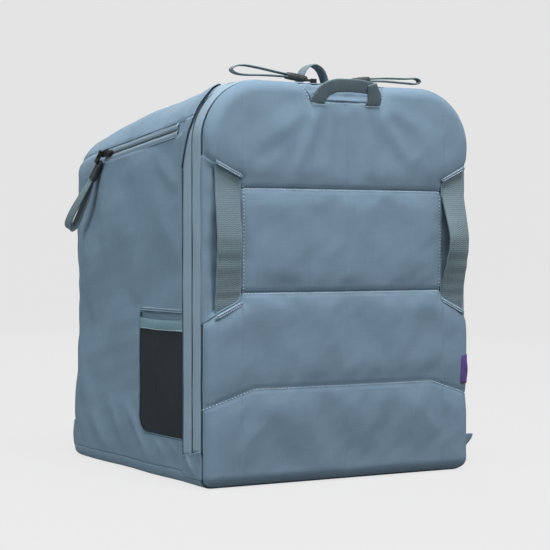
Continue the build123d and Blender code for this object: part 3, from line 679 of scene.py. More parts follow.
def door_height(x, z, m):
    """Height of the door's outer face over the plain pad: pillows between seams, hollows at insets, folds."""
    side = np.abs(x)
    # distances to the quilt lines, to the edges of the side insets and to those of the top inset
    past = np.maximum(side - QUILT_X, 0)
    to_quilt = np.minimum(np.hypot(past, z - QUILT_HIGH), np.hypot(past, z - QUILT_LOW))
    to_low = least(*(segment_distance(x, z, a, b) for a, b in zip(LOW_QUILT[:-1], LOW_QUILT[1:])))
    far_x = 260.0
    reach = INSET_SLOPE * (far_x - QUILT_X)
    upper = segment_distance(side, z, (QUILT_X, INSET_HIGH), (far_x, INSET_HIGH + reach))
    lower = segment_distance(side, z, (QUILT_X, INSET_LOW), (far_x, INSET_LOW - reach))
    inner = segment_distance(side, z, (QUILT_X, INSET_LOW), (QUILT_X, INSET_HIGH))
    to_inset = least(upper, lower, inner)
    in_inset = (side > QUILT_X) & (z < inset_edge(x, 1)) & (z > inset_edge(x, -1))
    top_half = top_inset_half(z)
    top_corner = (TOP_INSET_FOOT, TOP_INSET_Z)
    to_top = least(
        segment_distance(side, z, (0, TOP_INSET_Z), top_corner),
        segment_distance(side, z, top_corner, (64, TOP_INSET_Z + 44)),
    )
    in_top = (side < top_half) & (z > TOP_INSET_Z)

    # the padding crowns towards the middle of the door and dips at every stitched line
    crown = 4.0 * smooth(m, 8, 110) + 1.5 * smooth(m, 60, 190)
    grooves = 1.9 * bell(to_quilt, 3.0) + 1.5 * bell(to_quilt, 13)
    grooves = grooves + 1.4 * bell(to_low, 3.0) + 1.3 * bell(to_low, 15)
    grooves = grooves + 2.4 * bell(to_inset, 4.0) + 1.6 * bell(to_inset, 12)
    grooves = grooves + 1.8 * bell(to_top, 3.0) + 1.6 * bell(to_top, 10)
    height = crown - grooves * smooth(m, 1, 12) - 2.0 * bell(m, 3.0)

    # soft folds that run down from the haul handle and out from the handle insets
    for start, end, width, size in (
        ((-33, 424), (-72, 340), 7, 2.6),
        ((-20, 424), (-24, 352), 6, 2.0),
        ((-2, 424), (4, 356), 7, 1.6),
        ((20, 424), (34, 348), 6, 2.1),
        ((36, 424), (92, 350), 8, 2.6),
        ((-44, 424), (-120, 372), 9, 2.0),
        ((44, 426), (128, 392), 9, 2.1),
        ((-70, 410), (-150, 350), 12, 1.6),
        ((90, 400), (150, 350), 12, 1.6),
        ((-128, 344), (-70, 372), 10, 1.4),
        ((128, 344), (66, 384), 10, 1.4),
        ((-130, 214), (-60, 180), 11, 1.3),
        ((130, 214), (70, 176), 11, 1.3),
        ((-122, 238), (-40, 262), 12, 1.0),
        ((-126, 320), (-60, 300), 12, 1.0),
        ((126, 240), (40, 262), 12, 1.0),
        ((-118, 100), (-60, 60), 12, 1.2),
        ((118, 100), (70, 62), 12, 1.2),
        ((-60, 98), (-30, 40), 12, 0.9),
        ((50, 98), (30, 44), 12, 0.9),
    ):
        height += fold(x, z, start, end, width * 1.15, 0.72 * size * smooth(m, 4, 30))
    height += 0.5 * ripples(x, z, 3, 75) * smooth(m, 2, 40) + 0.10 * ripples(x, z, 8, 24) * smooth(m, 2, 30)
    flat_inset = INSET_LEVEL - DOOR_T
    sink = smooth(to_inset, 0.0, 7.0)
    inset_height = -2.6 * smooth(m, 0, 9) + (flat_inset + 2.6) * sink * smooth(m, 2, 22)
    inset_height += 0.25 * ripples(x, z, 5, 30) * smooth(m, 0, 9)
    height = np.where(in_inset, inset_height, height)
    top_sink = -1.8 - 5.0 * smooth(to_top, 0.0, 8.0) * smooth(m, 3, 16) + 0.3 * ripples(x, z, 6, 20)
    return np.where(in_top, top_sink, height)


def door_points(x, z, lower=0.0):
    """Outer-face points of the door for flat drawing coordinates."""
    _, _, _, m = door_pad.place(x, z, 0.0)
    px, pz, depth, _ = door_pad.place(x, z, door_height(x, z, m) - lower)
    return grid_points(px, SEAM_Y - depth, pz)


def columns(edges, step):
    """Column positions through the listed edges, about step apart, with a pair astride every inner edge."""
    out = []
    for a, b in zip(edges[:-1], edges[1:]):
        count = max(3, int(abs(b - a) / step))
        out.append(np.linspace(a + 0.05, b - 0.05, count))
    return np.concatenate(out)


def door_pins(x, z, m):
    """True where the door cloth is sewn down: rims, quilt lines and inset seams."""
    rim = np.zeros(x.shape, bool)
    rim[[0, -1], :] = True
    rim[:, [0, -1]] = True
    low = np.minimum(
        segment_distance(np.abs(x), z, (0, LOW_Z), LOW_QUILT[2]),
        segment_distance(np.abs(x), z, LOW_QUILT[2], LOW_QUILT[3]),
    )
    return rim | (low < 2.2) | (m < 4)


def door_panel(name, xs, low, high, rows, seed=0.0):
    """A door panel whose columns run from low(x) to high(x)."""
    t = np.linspace(0, 1, rows)[:, None]
    z = low(xs)[None] * (1 - t) + high(xs)[None] * t
    x = np.broadcast_to(xs[None], z.shape)
    return door_sheet(name, x, z, seed)


def door_sheet(name, x, z, seed):
    """Door cloth over a grid of flat drawing points, swollen between its seams and given thickness."""
    made = sheet(name, door_points(x, z), cat_grain(x, z, seed), SHELL, outward=(0, -1, 0))
    puff(made, door_pins(x, z, door_pad.place(x, z, 0.0)[3]), 1.2, 0.003, 1.4)
    return thicken(made, 1.0)


# spacing of the door's cloth grid
STEP = 2.2
reach_x = HALF + door_pad.grow


def rim_columns(inner):
    """Columns from inner out to the rim, closer together where the outline curves down."""
    t = np.linspace(0, 1, int((reach_x - inner) / STEP) + 6)
    return inner + (reach_x - inner) * np.sin(t * math.pi / 2)


def mirrored(right):
    """Column positions across the whole width, from those on the right."""
    return np.concatenate([-right[::-1], right])


def upper_low(x):
    """Lower edge of the upper door panel at x."""
    return np.where(np.abs(x) < QUILT_X, QUILT_HIGH, inset_edge(x, 1))


def upper_high(x):
    """Upper edge of the upper door panel at x, notched for the haul handle's inset."""
    _, top = door_pad.edge_z(x)
    notch = TOP_INSET_Z + (np.abs(x) - TOP_INSET_FOOT) * TOP_INSET_RISE / TOP_INSET_RUN
    return np.where(np.abs(x) < TOP_INSET_FOOT, TOP_INSET_Z, np.minimum(top, notch))


def lower_high(x):
    """Upper edge of the lower door panel at x."""
    return np.where(np.abs(x) < QUILT_X, QUILT_LOW, inset_edge(x, -1))


def flat_line(level):
    """A level edge of a panel."""
    return lambda x: 0 * x + level


side_x = rim_columns(QUILT_X + 0.05)
upper_x = mirrored(np.concatenate([columns([0, TOP_INSET_FOOT, 60, QUILT_X], STEP), side_x]))
lower_x = mirrored(np.concatenate([columns([0, QUILT_X], STEP), side_x]))
middle_x = mirrored(columns([0, QUILT_X], STEP))

upper_panel = door_panel("door_upper_panel", upper_x, upper_low, upper_high, int(130 / STEP))
dress(upper_panel, "door", "shell_fabric", "door_upper_fabric", "door_foam")
middle_panel = door_panel(
    "door_middle_panel", middle_x, flat_line(QUILT_LOW), flat_line(QUILT_HIGH), int(115 / STEP), seed=1.0
)
dress(middle_panel, "door", "shell_fabric", "door_middle_fabric")
lower_panel = door_panel(
    "door_lower_panel", lower_x, lambda x: door_pad.edge_z(x)[0], lower_high, int(225 / STEP), seed=2.0
)
dress(lower_panel, "door", "shell_fabric", "door_lower_fabric", "door_frame_sheet")
for side, name in SIDES:
    xs = side_x if side > 0 else -side_x[::-1]
    inset_cloth = door_panel(
        f"{name}_handle_inset_cloth",
        xs,
        lambda x: inset_edge(x, -1),
        lambda x: inset_edge(x, 1),
        int(180 / STEP),
        seed=3.0,
    )
    dress(inset_cloth, "door", "shell_fabric", f"{name}_handle_inset")
t = np.linspace(0, 1, int(36 / STEP) + 8)[:, None]
top_z = TOP_INSET_Z + (TOP + door_pad.grow - TOP_INSET_Z) * t
top_x = np.linspace(-1, 1, int(110 / STEP))[None] * top_inset_half(top_z)
top_z = np.broadcast_to(top_z, top_x.shape)
dress(door_sheet("top_handle_inset_cloth", top_x, top_z, 5.0), "door", "shell_fabric", "top_handle_inset")


def on_door(pairs, lift, step=2.0):
    """Points on the door's face along a polyline of (x, z), raised by lift."""
    flat, _ = resample([(x, 0, z) for x, z in pairs], step)
    return door_points(flat[:, 0], flat[:, 2], -lift)


FACING = (0, -1, 0)
quilt_runs = [
    (on_door([(-QUILT_X + 3, QUILT_HIGH - 1.4), (QUILT_X - 3, QUILT_HIGH - 1.4)], 0.6), FACING),
    (on_door([(-QUILT_X + 3, QUILT_LOW - 1.4), (QUILT_X - 3, QUILT_LOW - 1.4)], 0.6), FACING),
    (on_door([(x, z - 0.6) for x, z in LOW_QUILT], 0.5), FACING),
]
for side in (-1, 1):
    edge = side * (QUILT_X - 2.6)
    quilt_runs.append((on_door([(edge, INSET_LOW + 5), (edge, INSET_HIGH - 5)], 0.4), FACING))
quilt_runs.append((on_door([(-43, TOP_INSET_Z - 2.2), (43, TOP_INSET_Z - 2.2)], 0.4), FACING))
for side in (-1, 1):
    slant = [(side * 47.5, TOP_INSET_Z + 1), (side * 56, TOP_INSET_Z + 21)]
    quilt_runs.append((on_door(slant, 0.4), (0, -0.8, 0.6)))
dress(stitches("door_topstitching", quilt_runs, THREAD, length=1.5, gap=2.4, radius=0.64), "door", "thread")


# ---------------------------------------------------------------- door handles
def hem(name, pairs, width, height, seed):
    """A folded cloth edge sewn over the end of a webbing: a narrow crowned strip along a line of (x, z)."""
    line = on_door(pairs, 0.0, 1.5)
    along = line[-1] - line[0]
    along /= np.linalg.norm(along)
    across = np.cross(along, FACING)
    t = np.linspace(-1, 1, 9)
    crown = height * (1 - t**4)
    level = line[:, 1].min() - 0.2
    sideways = across * width / 2
    outward = np.array(FACING)
    grid = np.array([
        [(p[0], level, p[2]) + sideways * a + outward * c for a, c in zip(t, crown)] for p in line
    ])
    made = sheet(name, grid, cat_grain(grid[..., 0], grid[..., 2], seed), SHELL, outward=FACING)
    return thicken(made, 0.8), grid


GRAB_HALF = 15.0
GRAB_CENTRE = QUILT_X + 1 + GRAB_HALF
hem_pieces, tack_runs = [], []
for side, name in SIDES:
    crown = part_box(f"{name}_grab_handle")[0][1] / MM
    foot = FACE_Y + 4.5
    a = np.linspace(-1, 1, 15)[None]
    t = np.linspace(0, 1, 130)[:, None]
    x = side * GRAB_CENTRE + a * GRAB_HALF
    z_low, z_high = inset_edge(x, -1) - 3, inset_edge(x, 1) + 3
    z = z_low + (z_high - z_low) * t
    rise = smooth(t, 0.0, 0.55) * smooth(1 - t, 0.0, 0.55)
    wave = 0.45 * np.sin(z / 2.9) * bell(t - 0.36, 0.12) + 0.4 * np.sin(z / 2.6) * bell(t - 0.12, 0.07)
    crown_rise = crown + (5.0 if side > 0 else 2.0) - foot
    y = foot + crown_rise * rise * (1 - 0.18 * a * (side > 0)) - wave - 0.5 * (1 - a**2)
    y = y + 1.6 * smooth(np.abs(t - 0.5), 0.46, 0.5)
    x = x + side * 1.2 * rise + 0.4 * np.sin(t * 7)
    strap = sheet(
        f"{name}_grab_webbing", grid_points(x, y, z), cat_grain(x + 90, z, 1.0), WEBBING, outward=FACING
    )
    dress(thicken(strap, 2.0), "door", "webbing", f"{name}_grab_handle")
    for rise_sign in (1, -1):
        corner = INSET_HIGH if rise_sign > 0 else INSET_LOW
        outer = QUILT_X + 2 * GRAB_HALF + 3
        pairs = [(side * (QUILT_X - 1), corner - rise_sign * 0.5 + rise_sign * 2.4)]
        pairs.append((side * outer, corner + rise_sign * (INSET_SLOPE * (outer - QUILT_X) + 1.9)))
        piece, grid = hem(f"hem_{name}_{rise_sign + 1}", pairs, 5.0, 1.5, 4.0)
        hem_pieces.append(piece)
        for column in (2, 6):
            tack_runs.append((grid[2:-2, column] + np.array(FACING) * 0.3, FACING))
hems = join("handle_hems", hem_pieces)
dress(hems, "door", "shell_fabric")
for side in (-1, 1):
    foot_x = side * 35.5
    for level in (TOP_INSET_Z - 1.0, TOP_INSET_Z - 4.2):
        tack_runs.append((on_door([(foot_x - 9, level), (foot_x + 9, level)], 2.3), FACING))
tacks = stitches("handle_tack_stitches", tack_runs, THREAD, length=2.0, gap=0.5, radius=0.5)
dress(tacks, "door", "thread", "handle_bar_tacks")

haul_origin = np.array([0.0, FACE_Y - 1.3, TOP_INSET_Z + 1.5])
haul_lean = math.radians(25)
haul_up = np.array([0, -math.sin(haul_lean), math.cos(haul_lean)])
haul_out = np.array([0, -math.cos(haul_lean), -math.sin(haul_lean)])


def haul_band(name, knots, halves, lift, grain_at):
    """A flat run of webbing in the leaning plane of the haul handle, through (x, up) knots."""
    path = curve_through([(u, 0, v) for u, v in knots], 10)
    path, t = resample(path, 1.2)
    tangent = unit(np.gradient(path, axis=0))
    half = np.interp(t, np.linspace(0, t[-1], len(halves)), halves)
    a = np.linspace(-1, 1, 11)
    u = path[:, :1] + tangent[:, 2:] * -1 * a * half[:, None]
    v = path[:, 2:] + tangent[:, :1] * a * half[:, None]
    w = lift + 0.9 * np.sin(t / t[-1] * math.pi)[:, None] + 0.5 * (1 - a**2) + 0.25 * np.sin(t / 3.1)[:, None]
    along = np.array([1.0, 0, 0])
    grid = haul_origin + u[..., None] * along + v[..., None] * haul_up + w[..., None] * haul_out
    grain = cat_grain(a * 9 + grain_at + 0 * u, t[:, None] + 0 * u, 2.0)
    return thicken(sheet(name, grid, grain, WEBBING, outward=tuple(haul_out)), 1.6)


haul_left = haul_band(
    "haul_left", [(-36.5, -4), (-35.5, 3), (-29, 12), (-18, 17), (0, 18.2), (16, 17.6), (31, 15.5)],
    [9.4, 9.4, 8.6, 7.8, 7.7, 7.7, 7.2], 0.2, 20,
)
haul_right = haul_band(
    "haul_right", [(36, -4), (35.4, 4), (31.5, 13), (28, 21.5)], [9.4, 9.0, 7.6, 5.2], 1.9, 50
)
haul = join("door_haul_webbing", [haul_left, haul_right])
dress(haul, "door_haul_handle", "webbing", "door_haul_handle")

# woven label folded round the right rim
label_low, label_high = node_box("woven_label")
turn = np.radians(np.linspace(-94, -17, 30))[None]
up = np.linspace(0, 1, 24)[:, None]
reach = DOOR_EDGE_R + 0.7 + 0.7 * np.sin(up * math.pi) + 0.3 * np.sin(up * 9 + turn * 4)
label_x = HALF - DOOR_EDGE_R + reach * np.cos(turn)
label_y = FACE_Y + DOOR_EDGE_R + reach * np.sin(turn)
label_z = label_low[2] + 5.5 + (label_high[2] - label_low[2]) * up
label_grid = grid_points(label_x, label_y, label_z)
label_grain = cat_grain(turn * DOOR_EDGE_R, label_z, 1.0)
label_sheet = sheet("woven_label_cloth", label_grid, label_grain, LABEL, outward=(1, -1, 0))
dress(thicken(label_sheet, 0.6), "door", "label", "woven_label")


# ---------------------------------------------------------------- body panels
def top_seam(y):
    """Arc length of the seam between the top and a side panel at depth y."""
    return arch_at_height(TOP_SEAM_FRONT_Z + TOP_SEAM_SLOPE * (y - BAND_Y), top_lift(y))


# height at which panel cloth clears the crown of the zip tape
TAPE_COVER = 2.8


def shoulder(s):
    """1 at the shoulders of the arch, 0 over the middle of the top and down the sides."""
    return smooth(np.abs(s), 120, 168) * (1 - smooth(np.abs(s), 186, 262))


def overhang(s, y):
    """How far the panels roll forward over the zip tape round the shoulders of the arch."""
    return 24.0 * shoulder(s) * (1 - smooth(y, BAND_Y, BAND_Y + 60))


def rim_dip(s):
    """How deep the panels' rims sink beside the zip tape; at the shoulders they stand over it."""
    return 2.6 - 5.0 * smooth(shoulder(s), 0.0, 0.25)


def over_tape(s, y):
    """Where the panels lie on the zip tape, round the shoulders."""
    return (shoulder(s) > 0.01) & (y - overhang(s, y) < BAND_Y + 6)


def clear_tape(s, y, height):
    """Lifts a panel's height over the zip tape where its rim rolls onto it."""
    over = (1 - smooth(y - overhang(s, y), BAND_Y, BAND_Y + 8)) * smooth(shoulder(s), 0, 0.12)
    return height + over * np.maximum(TAPE_COVER - height, 0)


def pear(y, z):
    """How far the side walls stand out: slim at mid height, fuller low down and towards the middle."""
    depth = smooth(y, BAND_Y + 10, BAND_Y + 150) * (1 - smooth(y, REAR_SEAM_Y - 60, REAR_Y + 30))
    low = 3.0 * bell(z - 70, 70) * (0.25 + 0.75 * depth)
    flare = 5.5 * (1 - smooth(z, 0, 130)) * smooth(y, 0, REAR_SEAM_Y)
    middle = 3.5 * depth * bell(z - 270, 110) - 1.5 * bell(z - 215, 60)
    return low + flare + middle


def side_bulge(y, z, side):
    """Height of a side panel over the plain wall."""
    height = pear(y, z)
    along = arch_at_height(z, top_lift(y))
    height -= rim_dip(along) * bell(y - BAND_Y, 4.0) * smooth(z, 20, 60) + 1.5 * bell(y - REAR_SEAM_Y, 6)
    seam = TOP_SEAM_FRONT_Z + TOP_SEAM_SLOPE * (y - BAND_Y)
    height -= 1.8 * bell(z - seam, 3.5)
    height += 0.8 * ripples(y, z, 11 if side < 0 else 12, 115) + 0.12 * ripples(y, z, 14, 24)
    folds = (
        ((-70, 98), (-132, 22), 7, 2.6),
        ((-36, 92), (-100, 18), 6, 2.4),
        ((4, 80), (-58, 18), 7, 2.0),
        ((56, 88), (6, 20), 9, 1.8),
        ((150, 150), (120, 60), 12, 1.6),
        ((-132, 330), (-70, 366), 9, 1.6),
        ((-134, 250), (-80, 300), 12, 1.3),
        ((140, 300), (90, 230), 14, 1.4),
        ((130, 330), (100, 130), 10, 1.6),
        ((80, 360), (60, 200), 11, 1.2),
        ((-20, 250), (-30, 190), 12, 1.0),
        ((100, 60), (60, 18), 9, 1.8),
    )
    clear = 1 - smooth(pocket_inside(y, z), -14, 0) * (side < 0)
    for start, end, width, size in folds:
        height += fold(y, z, start, end, width, size * clear)
    return clear_tape(along, y, height)


SIDE_ZIP_A, SIDE_ZIP_B = (-122.0, 396.5), (82.0, 376.0)
POCKET_CORNER = 20.0


def pocket_inside(y, z):
    """How far (y, z) lies inside the pocket outline."""
    over_y = np.maximum(y - (POCKET_REAR_Y - POCKET_CORNER), 0)
    over_z = np.maximum((POCKET_LOW + POCKET_CORNER) - z, 0)
    inside = least(POCKET_REAR_Y - y, z - POCKET_LOW, POCKET_HIGH - z)
    return np.where((over_y > 0) & (over_z > 0), POCKET_CORNER - np.hypot(over_y, over_z), inside)


def zip_inside(y, z):
    """How far (y, z) lies inside the side zip's opening."""
    dy, dz = SIDE_ZIP_B[0] - SIDE_ZIP_A[0], SIDE_ZIP_B[1] - SIDE_ZIP_A[1]
    length = math.hypot(dy, dz)
    along = ((y - SIDE_ZIP_A[0]) * dy + (z - SIDE_ZIP_A[1]) * dz) / length
    across = ((y - SIDE_ZIP_A[0]) * dz - (z - SIDE_ZIP_A[1]) * dy) / length
    return least((along + 3) * 0.22, length + 1 - along, 7.2 - np.abs(across))


def cut_features(y, z, bulge):
    """Sinks the left panel at the side zip and at the pocket opening."""
    bulge = bulge - (2.2 + bulge) * smooth(zip_inside(y, z), -0.8, 1.6)
    return bulge - (4.4 + bulge) * smooth(pocket_inside(y, z), 0.0, 2.5)


def side_grid(side, rows, cols):
    """Points, depths and heights of one side panel's grid."""
    y = np.linspace(BAND_Y, REAR_SEAM_Y, cols)[None]
    t = np.linspace(0, 1, rows)[:, None]
    s = top_seam(y) * (1 - t) + arch_at_height(BASE_SEAM_Z, top_lift(y)) * t
    y = np.broadcast_to(y, s.shape)
    _, z, _, _ = arch(s, 0.0, top_lift(y))
    bulge = side_bulge(y, z, side)
    if side < 0:
        bulge = cut_features(y, z, bulge)
    return body_surface(side * s, y - overhang(s, y), 0.0, bulge), y, z


def rim_mask(shape):
    """True on the two outermost rows and columns of a grid."""
    mask = np.zeros(shape, bool)
    mask[[0, 1, -2, -1], :] = True
    mask[:, [0, 1, -2, -1]] = True
    return mask


# spacing of the body panels' cloth grids
GRID = 2.5
rows, cols = int(400 / GRID), int(300 / GRID)
side_edges = {}
for side, name in SIDES:
    points, y, z = side_grid(side, rows, cols)
    side_edges[side] = points[-1]
    panel = sheet(f"{name}_side_panel", points, cat_grain(y, z, 7.0 + side), SHELL, outward=(side, 0, 0))
    pins = rim_mask(y.shape) | over_tape(arch_at_height(z, top_lift(y)), y)
    if side < 0:
        pins |= (segment_distance(y, z, SIDE_ZIP_A, SIDE_ZIP_B) < 10) | (pocket_inside(y, z) > -3)
    puff(panel, pins, 1.0, 0.003, 1.8)
    dress(thicken(panel, 1.0), "bag_body", "shell_fabric", f"{name}_side_fabric", f"{name}_side_foam")


def top_bulge(s, y):
    """Height of the top panel over the plain arch."""
    edge = np.maximum(top_seam(y) - np.abs(s), 0)
    swell = 3.0 * smooth(edge, 0, 120) * smooth(y, BAND_Y, BAND_Y + 110) * (1 - smooth(y, 60, REAR_SEAM_Y))
    front_dip = rim_dip(s) * bell(y - BAND_Y, 4.0)
    height = swell - 1.8 * bell(edge, 3.5) - front_dip - 1.5 * bell(y - REAR_SEAM_Y, 6)
    height = height + 0.6 * ripples(s, y, 21, 90) + 0.25 * ripples(s, y, 22, 26)
    for start, end, width, size in (
        ((-20, -130), (-60, -60), 9, 1.0),
        ((24, -130), (70, -70), 9, 1.0),
        ((-170, -110), (-130, -20), 12, 0.8),
        ((-180, -90), (-140, 30), 12, 0.8),
        ((-175, -20), (-130, 100), 12, 0.8),
        ((175, -100), (130, 40), 12, 0.8),
    ):
        height = height + fold(s, y, start, end, width, size)
    return clear_tape(s, y, height)


y = np.linspace(BAND_Y, REAR_SEAM_Y, cols)[None]
t = np.linspace(-1, 1, int(430 / GRID))[:, None]
s = top_seam(y) * t
y = np.broadcast_to(y, s.shape)
top_sheet = sheet(
    "top_panel",
    body_surface(s, y - overhang(s, y), 0.0, top_bulge(s, y)),
    cat_grain(s, y, 9.0),
    SHELL,
    outward=(0, 0, 1),
)
puff(top_sheet, rim_mask(y.shape) | over_tape(s, y), 1.0, 0.003, 1.8)
dress(thicken(top_sheet, 1.0), "bag_body", "shell_fabric", "top_fabric", "top_foam")

# rear panel
rear_start = math.asin((REAR_SEAM_Y - (REAR_Y - REAR_R)) / REAR_R)
rear_pad = Pad(HALF, REAR_TOP, -400.0, TOP_R, 1.0, 0.0, REAR_R, rear_start)
BACK_PAD_X, BACK_PAD_LOW, BACK_PAD_HIGH = 128.0, 52.0, 318.0
BACK_QUILTS = (122, 212)


def rim_bulge(x, z):
    """Height of the side and top panels where the rear panel is sewn to them."""
    px, pz, _, _ = rear_pad.place(x, z, 0.0)
    lift = top_lift(REAR_SEAM_Y)
    pz = pz + TOP_SLOPE * (REAR_SEAM_Y - REAR_Y) * smooth(z, 120, 330)
    flat, centre = HALF - TOP_R, TOP + lift - TOP_R
    angle = np.arctan2(np.maximum(np.abs(px) - flat, 0), np.maximum(pz - centre, 1e-6))
    over_top = np.where(np.abs(px) > flat, flat + TOP_R * angle, np.abs(px))
    s = np.where(pz > centre, over_top, flat + TOP_R * math.pi / 2)
    seam = top_seam(REAR_SEAM_Y)
    side = np.where(px < 0, side_bulge(REAR_SEAM_Y, pz, -1), side_bulge(REAR_SEAM_Y, pz, 1))
    top = top_bulge(np.sign(px) * np.minimum(s, seam), REAR_SEAM_Y)
    return np.where((s > seam) | (pz <= centre), side, top)


def back_inside(x, z):
    """How far (x, z) lies inside the stitched frame of the back padding."""
    return least(BACK_PAD_X - np.abs(x), z - BACK_PAD_LOW, BACK_PAD_HIGH - z)


def rear_height(x, z, m):
    """Back padding: quilted pads with a central channel, inside a stitched frame."""
    inside = back_inside(x, z)
    height = 2.0 * smooth(m, 20, 120) + 5.5 * smooth(inside, 0, 16)
    channels = 6.0 * bell(np.abs(x), 8) + sum(4.5 * bell(z - level, 6) for level in BACK_QUILTS)
    height -= smooth(inside, -2, 4) * channels
    height -= 1.6 * bell(inside, 3.5)
    height = height + 0.8 * ripples(x, z, 31, 80) + 0.25 * ripples(x, z, 32, 24)
    near = 1 - smooth(m, 0, 34)
    return height * (1 - near) + near * (rim_bulge(x, z) - 0.4 * bell(m, 4))


def rear_points(x, z, lift=0.0):
    """Outer points of the rear panel for flat drawing coordinates."""
    _, _, _, m = rear_pad.place(x, z, 0.0)
    px, pz, depth, _ = rear_pad.place(x, z, rear_height(x, z, m) + lift)
    y = REAR_SEAM_Y + depth
    pz = pz + TOP_SLOPE * (np.minimum(y, REAR_Y) - REAR_Y) * smooth(z, 120, 330)
    return grid_points(px, y, pz)


rear_t = np.linspace(0, 1, int(430 / GRID))[:, None]
rear_reach = HALF + rear_pad.grow
rear_x = (np.sin(np.linspace(-1, 1, int(400 / GRID)) * math.pi / 2) * rear_reach)[None]
_, rear_edge = rear_pad.edge_z(rear_x)
rear_z = BASE_SEAM_Z * (1 - rear_t) + rear_edge * rear_t
rear_x = np.broadcast_to(rear_x, rear_z.shape)
rear_grid = rear_points(rear_x, rear_z)
rear_sheet = sheet("rear_panel", rear_grid, cat_grain(rear_x, rear_z, 12.0), SHELL, outward=(0, 1, 0))
frame_line = back_inside(rear_x, rear_z)
to_channel = least(np.abs(rear_x), *(np.abs(rear_z - level) for level in BACK_QUILTS))
rear_pins = rim_mask(rear_x.shape) | (np.abs(frame_line) < 2) | ((frame_line > 0) & (to_channel < 2))
puff(rear_sheet, rear_pins, 1.2, 0.005, 2.0)
dress(thicken(rear_sheet, 1.0), "bag_body", "shell_fabric", "rear_fabric", "rear_foam")


def on_rear(pairs):
    """Points just over the rear panel's face along a polyline of (x, z)."""
    flat, _ = resample([(x, 0, z) for x, z in pairs], 2.0)
    return rear_points(flat[:, 0], flat[:, 2], 0.4)


BACK = (0, 1, 0)
frame_corners = [(-BACK_PAD_X, BACK_PAD_LOW), (BACK_PAD_X, BACK_PAD_LOW), (BACK_PAD_X, BACK_PAD_HIGH)]
frame_corners += [(-BACK_PAD_X, BACK_PAD_HIGH), (-BACK_PAD_X, BACK_PAD_LOW)]
rear_runs = [(on_rear(frame_corners), BACK), (on_rear([(0, BACK_PAD_LOW), (0, BACK_PAD_HIGH)]), BACK)]
for level in BACK_QUILTS:
    rear_runs.append((on_rear([(-BACK_PAD_X, level), (BACK_PAD_X, level)]), BACK))
dress(stitches("rear_quilt_stitches", rear_runs, THREAD), "bag_body", "thread")

# ---------------------------------------------------------------- base
front_y = SEAM_Y + 0.3
front_y_run = np.linspace(front_y, BAND_Y, 18)[:-1]


def front_run(side):
    """Wall line under the zip-end tab, from the door seam back to the side panel."""
    start_x = side_edges[side][0, 0]
    x = side * HALF + (start_x - side * HALF) * smooth(front_y_run, front_y, BAND_Y)
    return grid_points(x, front_y_run, BASE_SEAM_Z)


ring = np.vstack([
    front_run(-1), side_edges[-1], rear_grid[0, 1:-1], side_edges[1][::-1], front_run(1)[::-1],
])
ring, _ = resample(ring, 3.0)
outward = np.stack([np.gradient(ring[:, 1]), -np.gradient(ring[:, 0]), 0 * ring[:, 0]], -1)
outward[:, 1] = np.where(ring[:, 1] < REAR_SEAM_Y - 20, 0, outward[:, 1])
outward *= np.sign(np.sum(outward * ring, axis=1))[:, None]
outward = unit(outward)
levels = [(BASE_SEAM_Z + 3, 1.2), (BASE_SEAM_Z + 0.5, 0.0)]
levels += [
    (BASE_SEAM_Z - BASE_SEAM_Z * math.sin(a), 13 * (1 - math.cos(a)) ** 1.5)
    for a in np.linspace(0.15, math.pi / 2, 10)
]
base_rows = []
for z, inset in levels:
    row = ring - outward * inset
    row[:, 2] = z
    base_rows.append(row)
for k in np.linspace(0.1, 1.0, 11):
    row = base_rows[len(levels) - 1].copy()
    row[:, 0] *= 1 - k
    base_rows.append(row)
base_points = np.stack(base_rows)
base_points[..., 1] = np.maximum(base_points[..., 1], front_y)
base_sheet = sheet(
    "base_panel",
    base_points,
    cat_grain(base_points[..., 0], base_points[..., 1], 13.0),
    SHELL,
    outward=(0, 0, -1),
)
dress(thicken(base_sheet, 0.9), "bag_body", "base_fabric", "base_fabric", "base_foam")


# ---------------------------------------------------------------- main zip
def band_points(s, y, bulge):
    """Points of the zip band at arc length s and depth y, raised by bulge."""
    x, z, nx, nz = arch(s)
    bulge = bulge - corner_drop(s)
    return grid_points(x + nx * bulge, y, z + nz * bulge)


def zip_tape(name, y_seam, y_slot, low, body, node, coil_node):
    """One cloth half of the zip band: sunk at its seam, crowned, and turned in at the slot."""
    limit = arch_at_height(low)
    s = np.linspace(-limit, limit, int(2 * limit / 4))[:, None]
    a = np.linspace(0, 1, 17)[None]
    y = y_seam + (y_slot - y_seam) * a
    bulge = 0.9 * np.sin(np.clip(a * 1.05, 0, 1) * math.pi) ** 0.7
    bulge = bulge - 3.0 * bell(a, 0.06) - 1.1 * bell(a - 1, 0.06)
    bulge = bulge + 0.25 * ripples(s, y * 3, 41 if y_seam > y_slot else 42, 70)
    tape = sheet(name, band_points(s + 0 * a, y, bulge), cat_grain(y, s, 3.0), TAPE, outward=(0, 0, 1))
    dress(thicken(tape, 0.9), body, "zip_tape", node, coil_node)
    return limit


def zip_teeth(name, y_centre, limit, body, phase):
    """Nylon coil teeth across the slot, seen as fine ridges in the dark line."""
    s = np.arange(-limit + 4 + phase, limit - 4, 2.2)
    _, _, nx, nz = arch(s)
    centres = band_points(s, y_centre, -0.9)
    outs = np.stack([nx, 0 * nx, nz], -1)
    alongs = np.broadcast_to(np.array([0.0, 1.0, 0.0]), centres.shape)
    teeth = capsules(name, centres, alongs, outs, 2.6, 0.62, COIL)
    dress(teeth, body, "zip_coil")


def zip_cord(name, y_centre, limit, body):
    """The sewn edge of the coil, a dark cord along the slot under the teeth."""
    cord = tube(name, band_points(np.linspace(-limit, limit, 300), y_centre, -2.0), 1.1, COIL)
    dress(cord, body, "zip_coil")


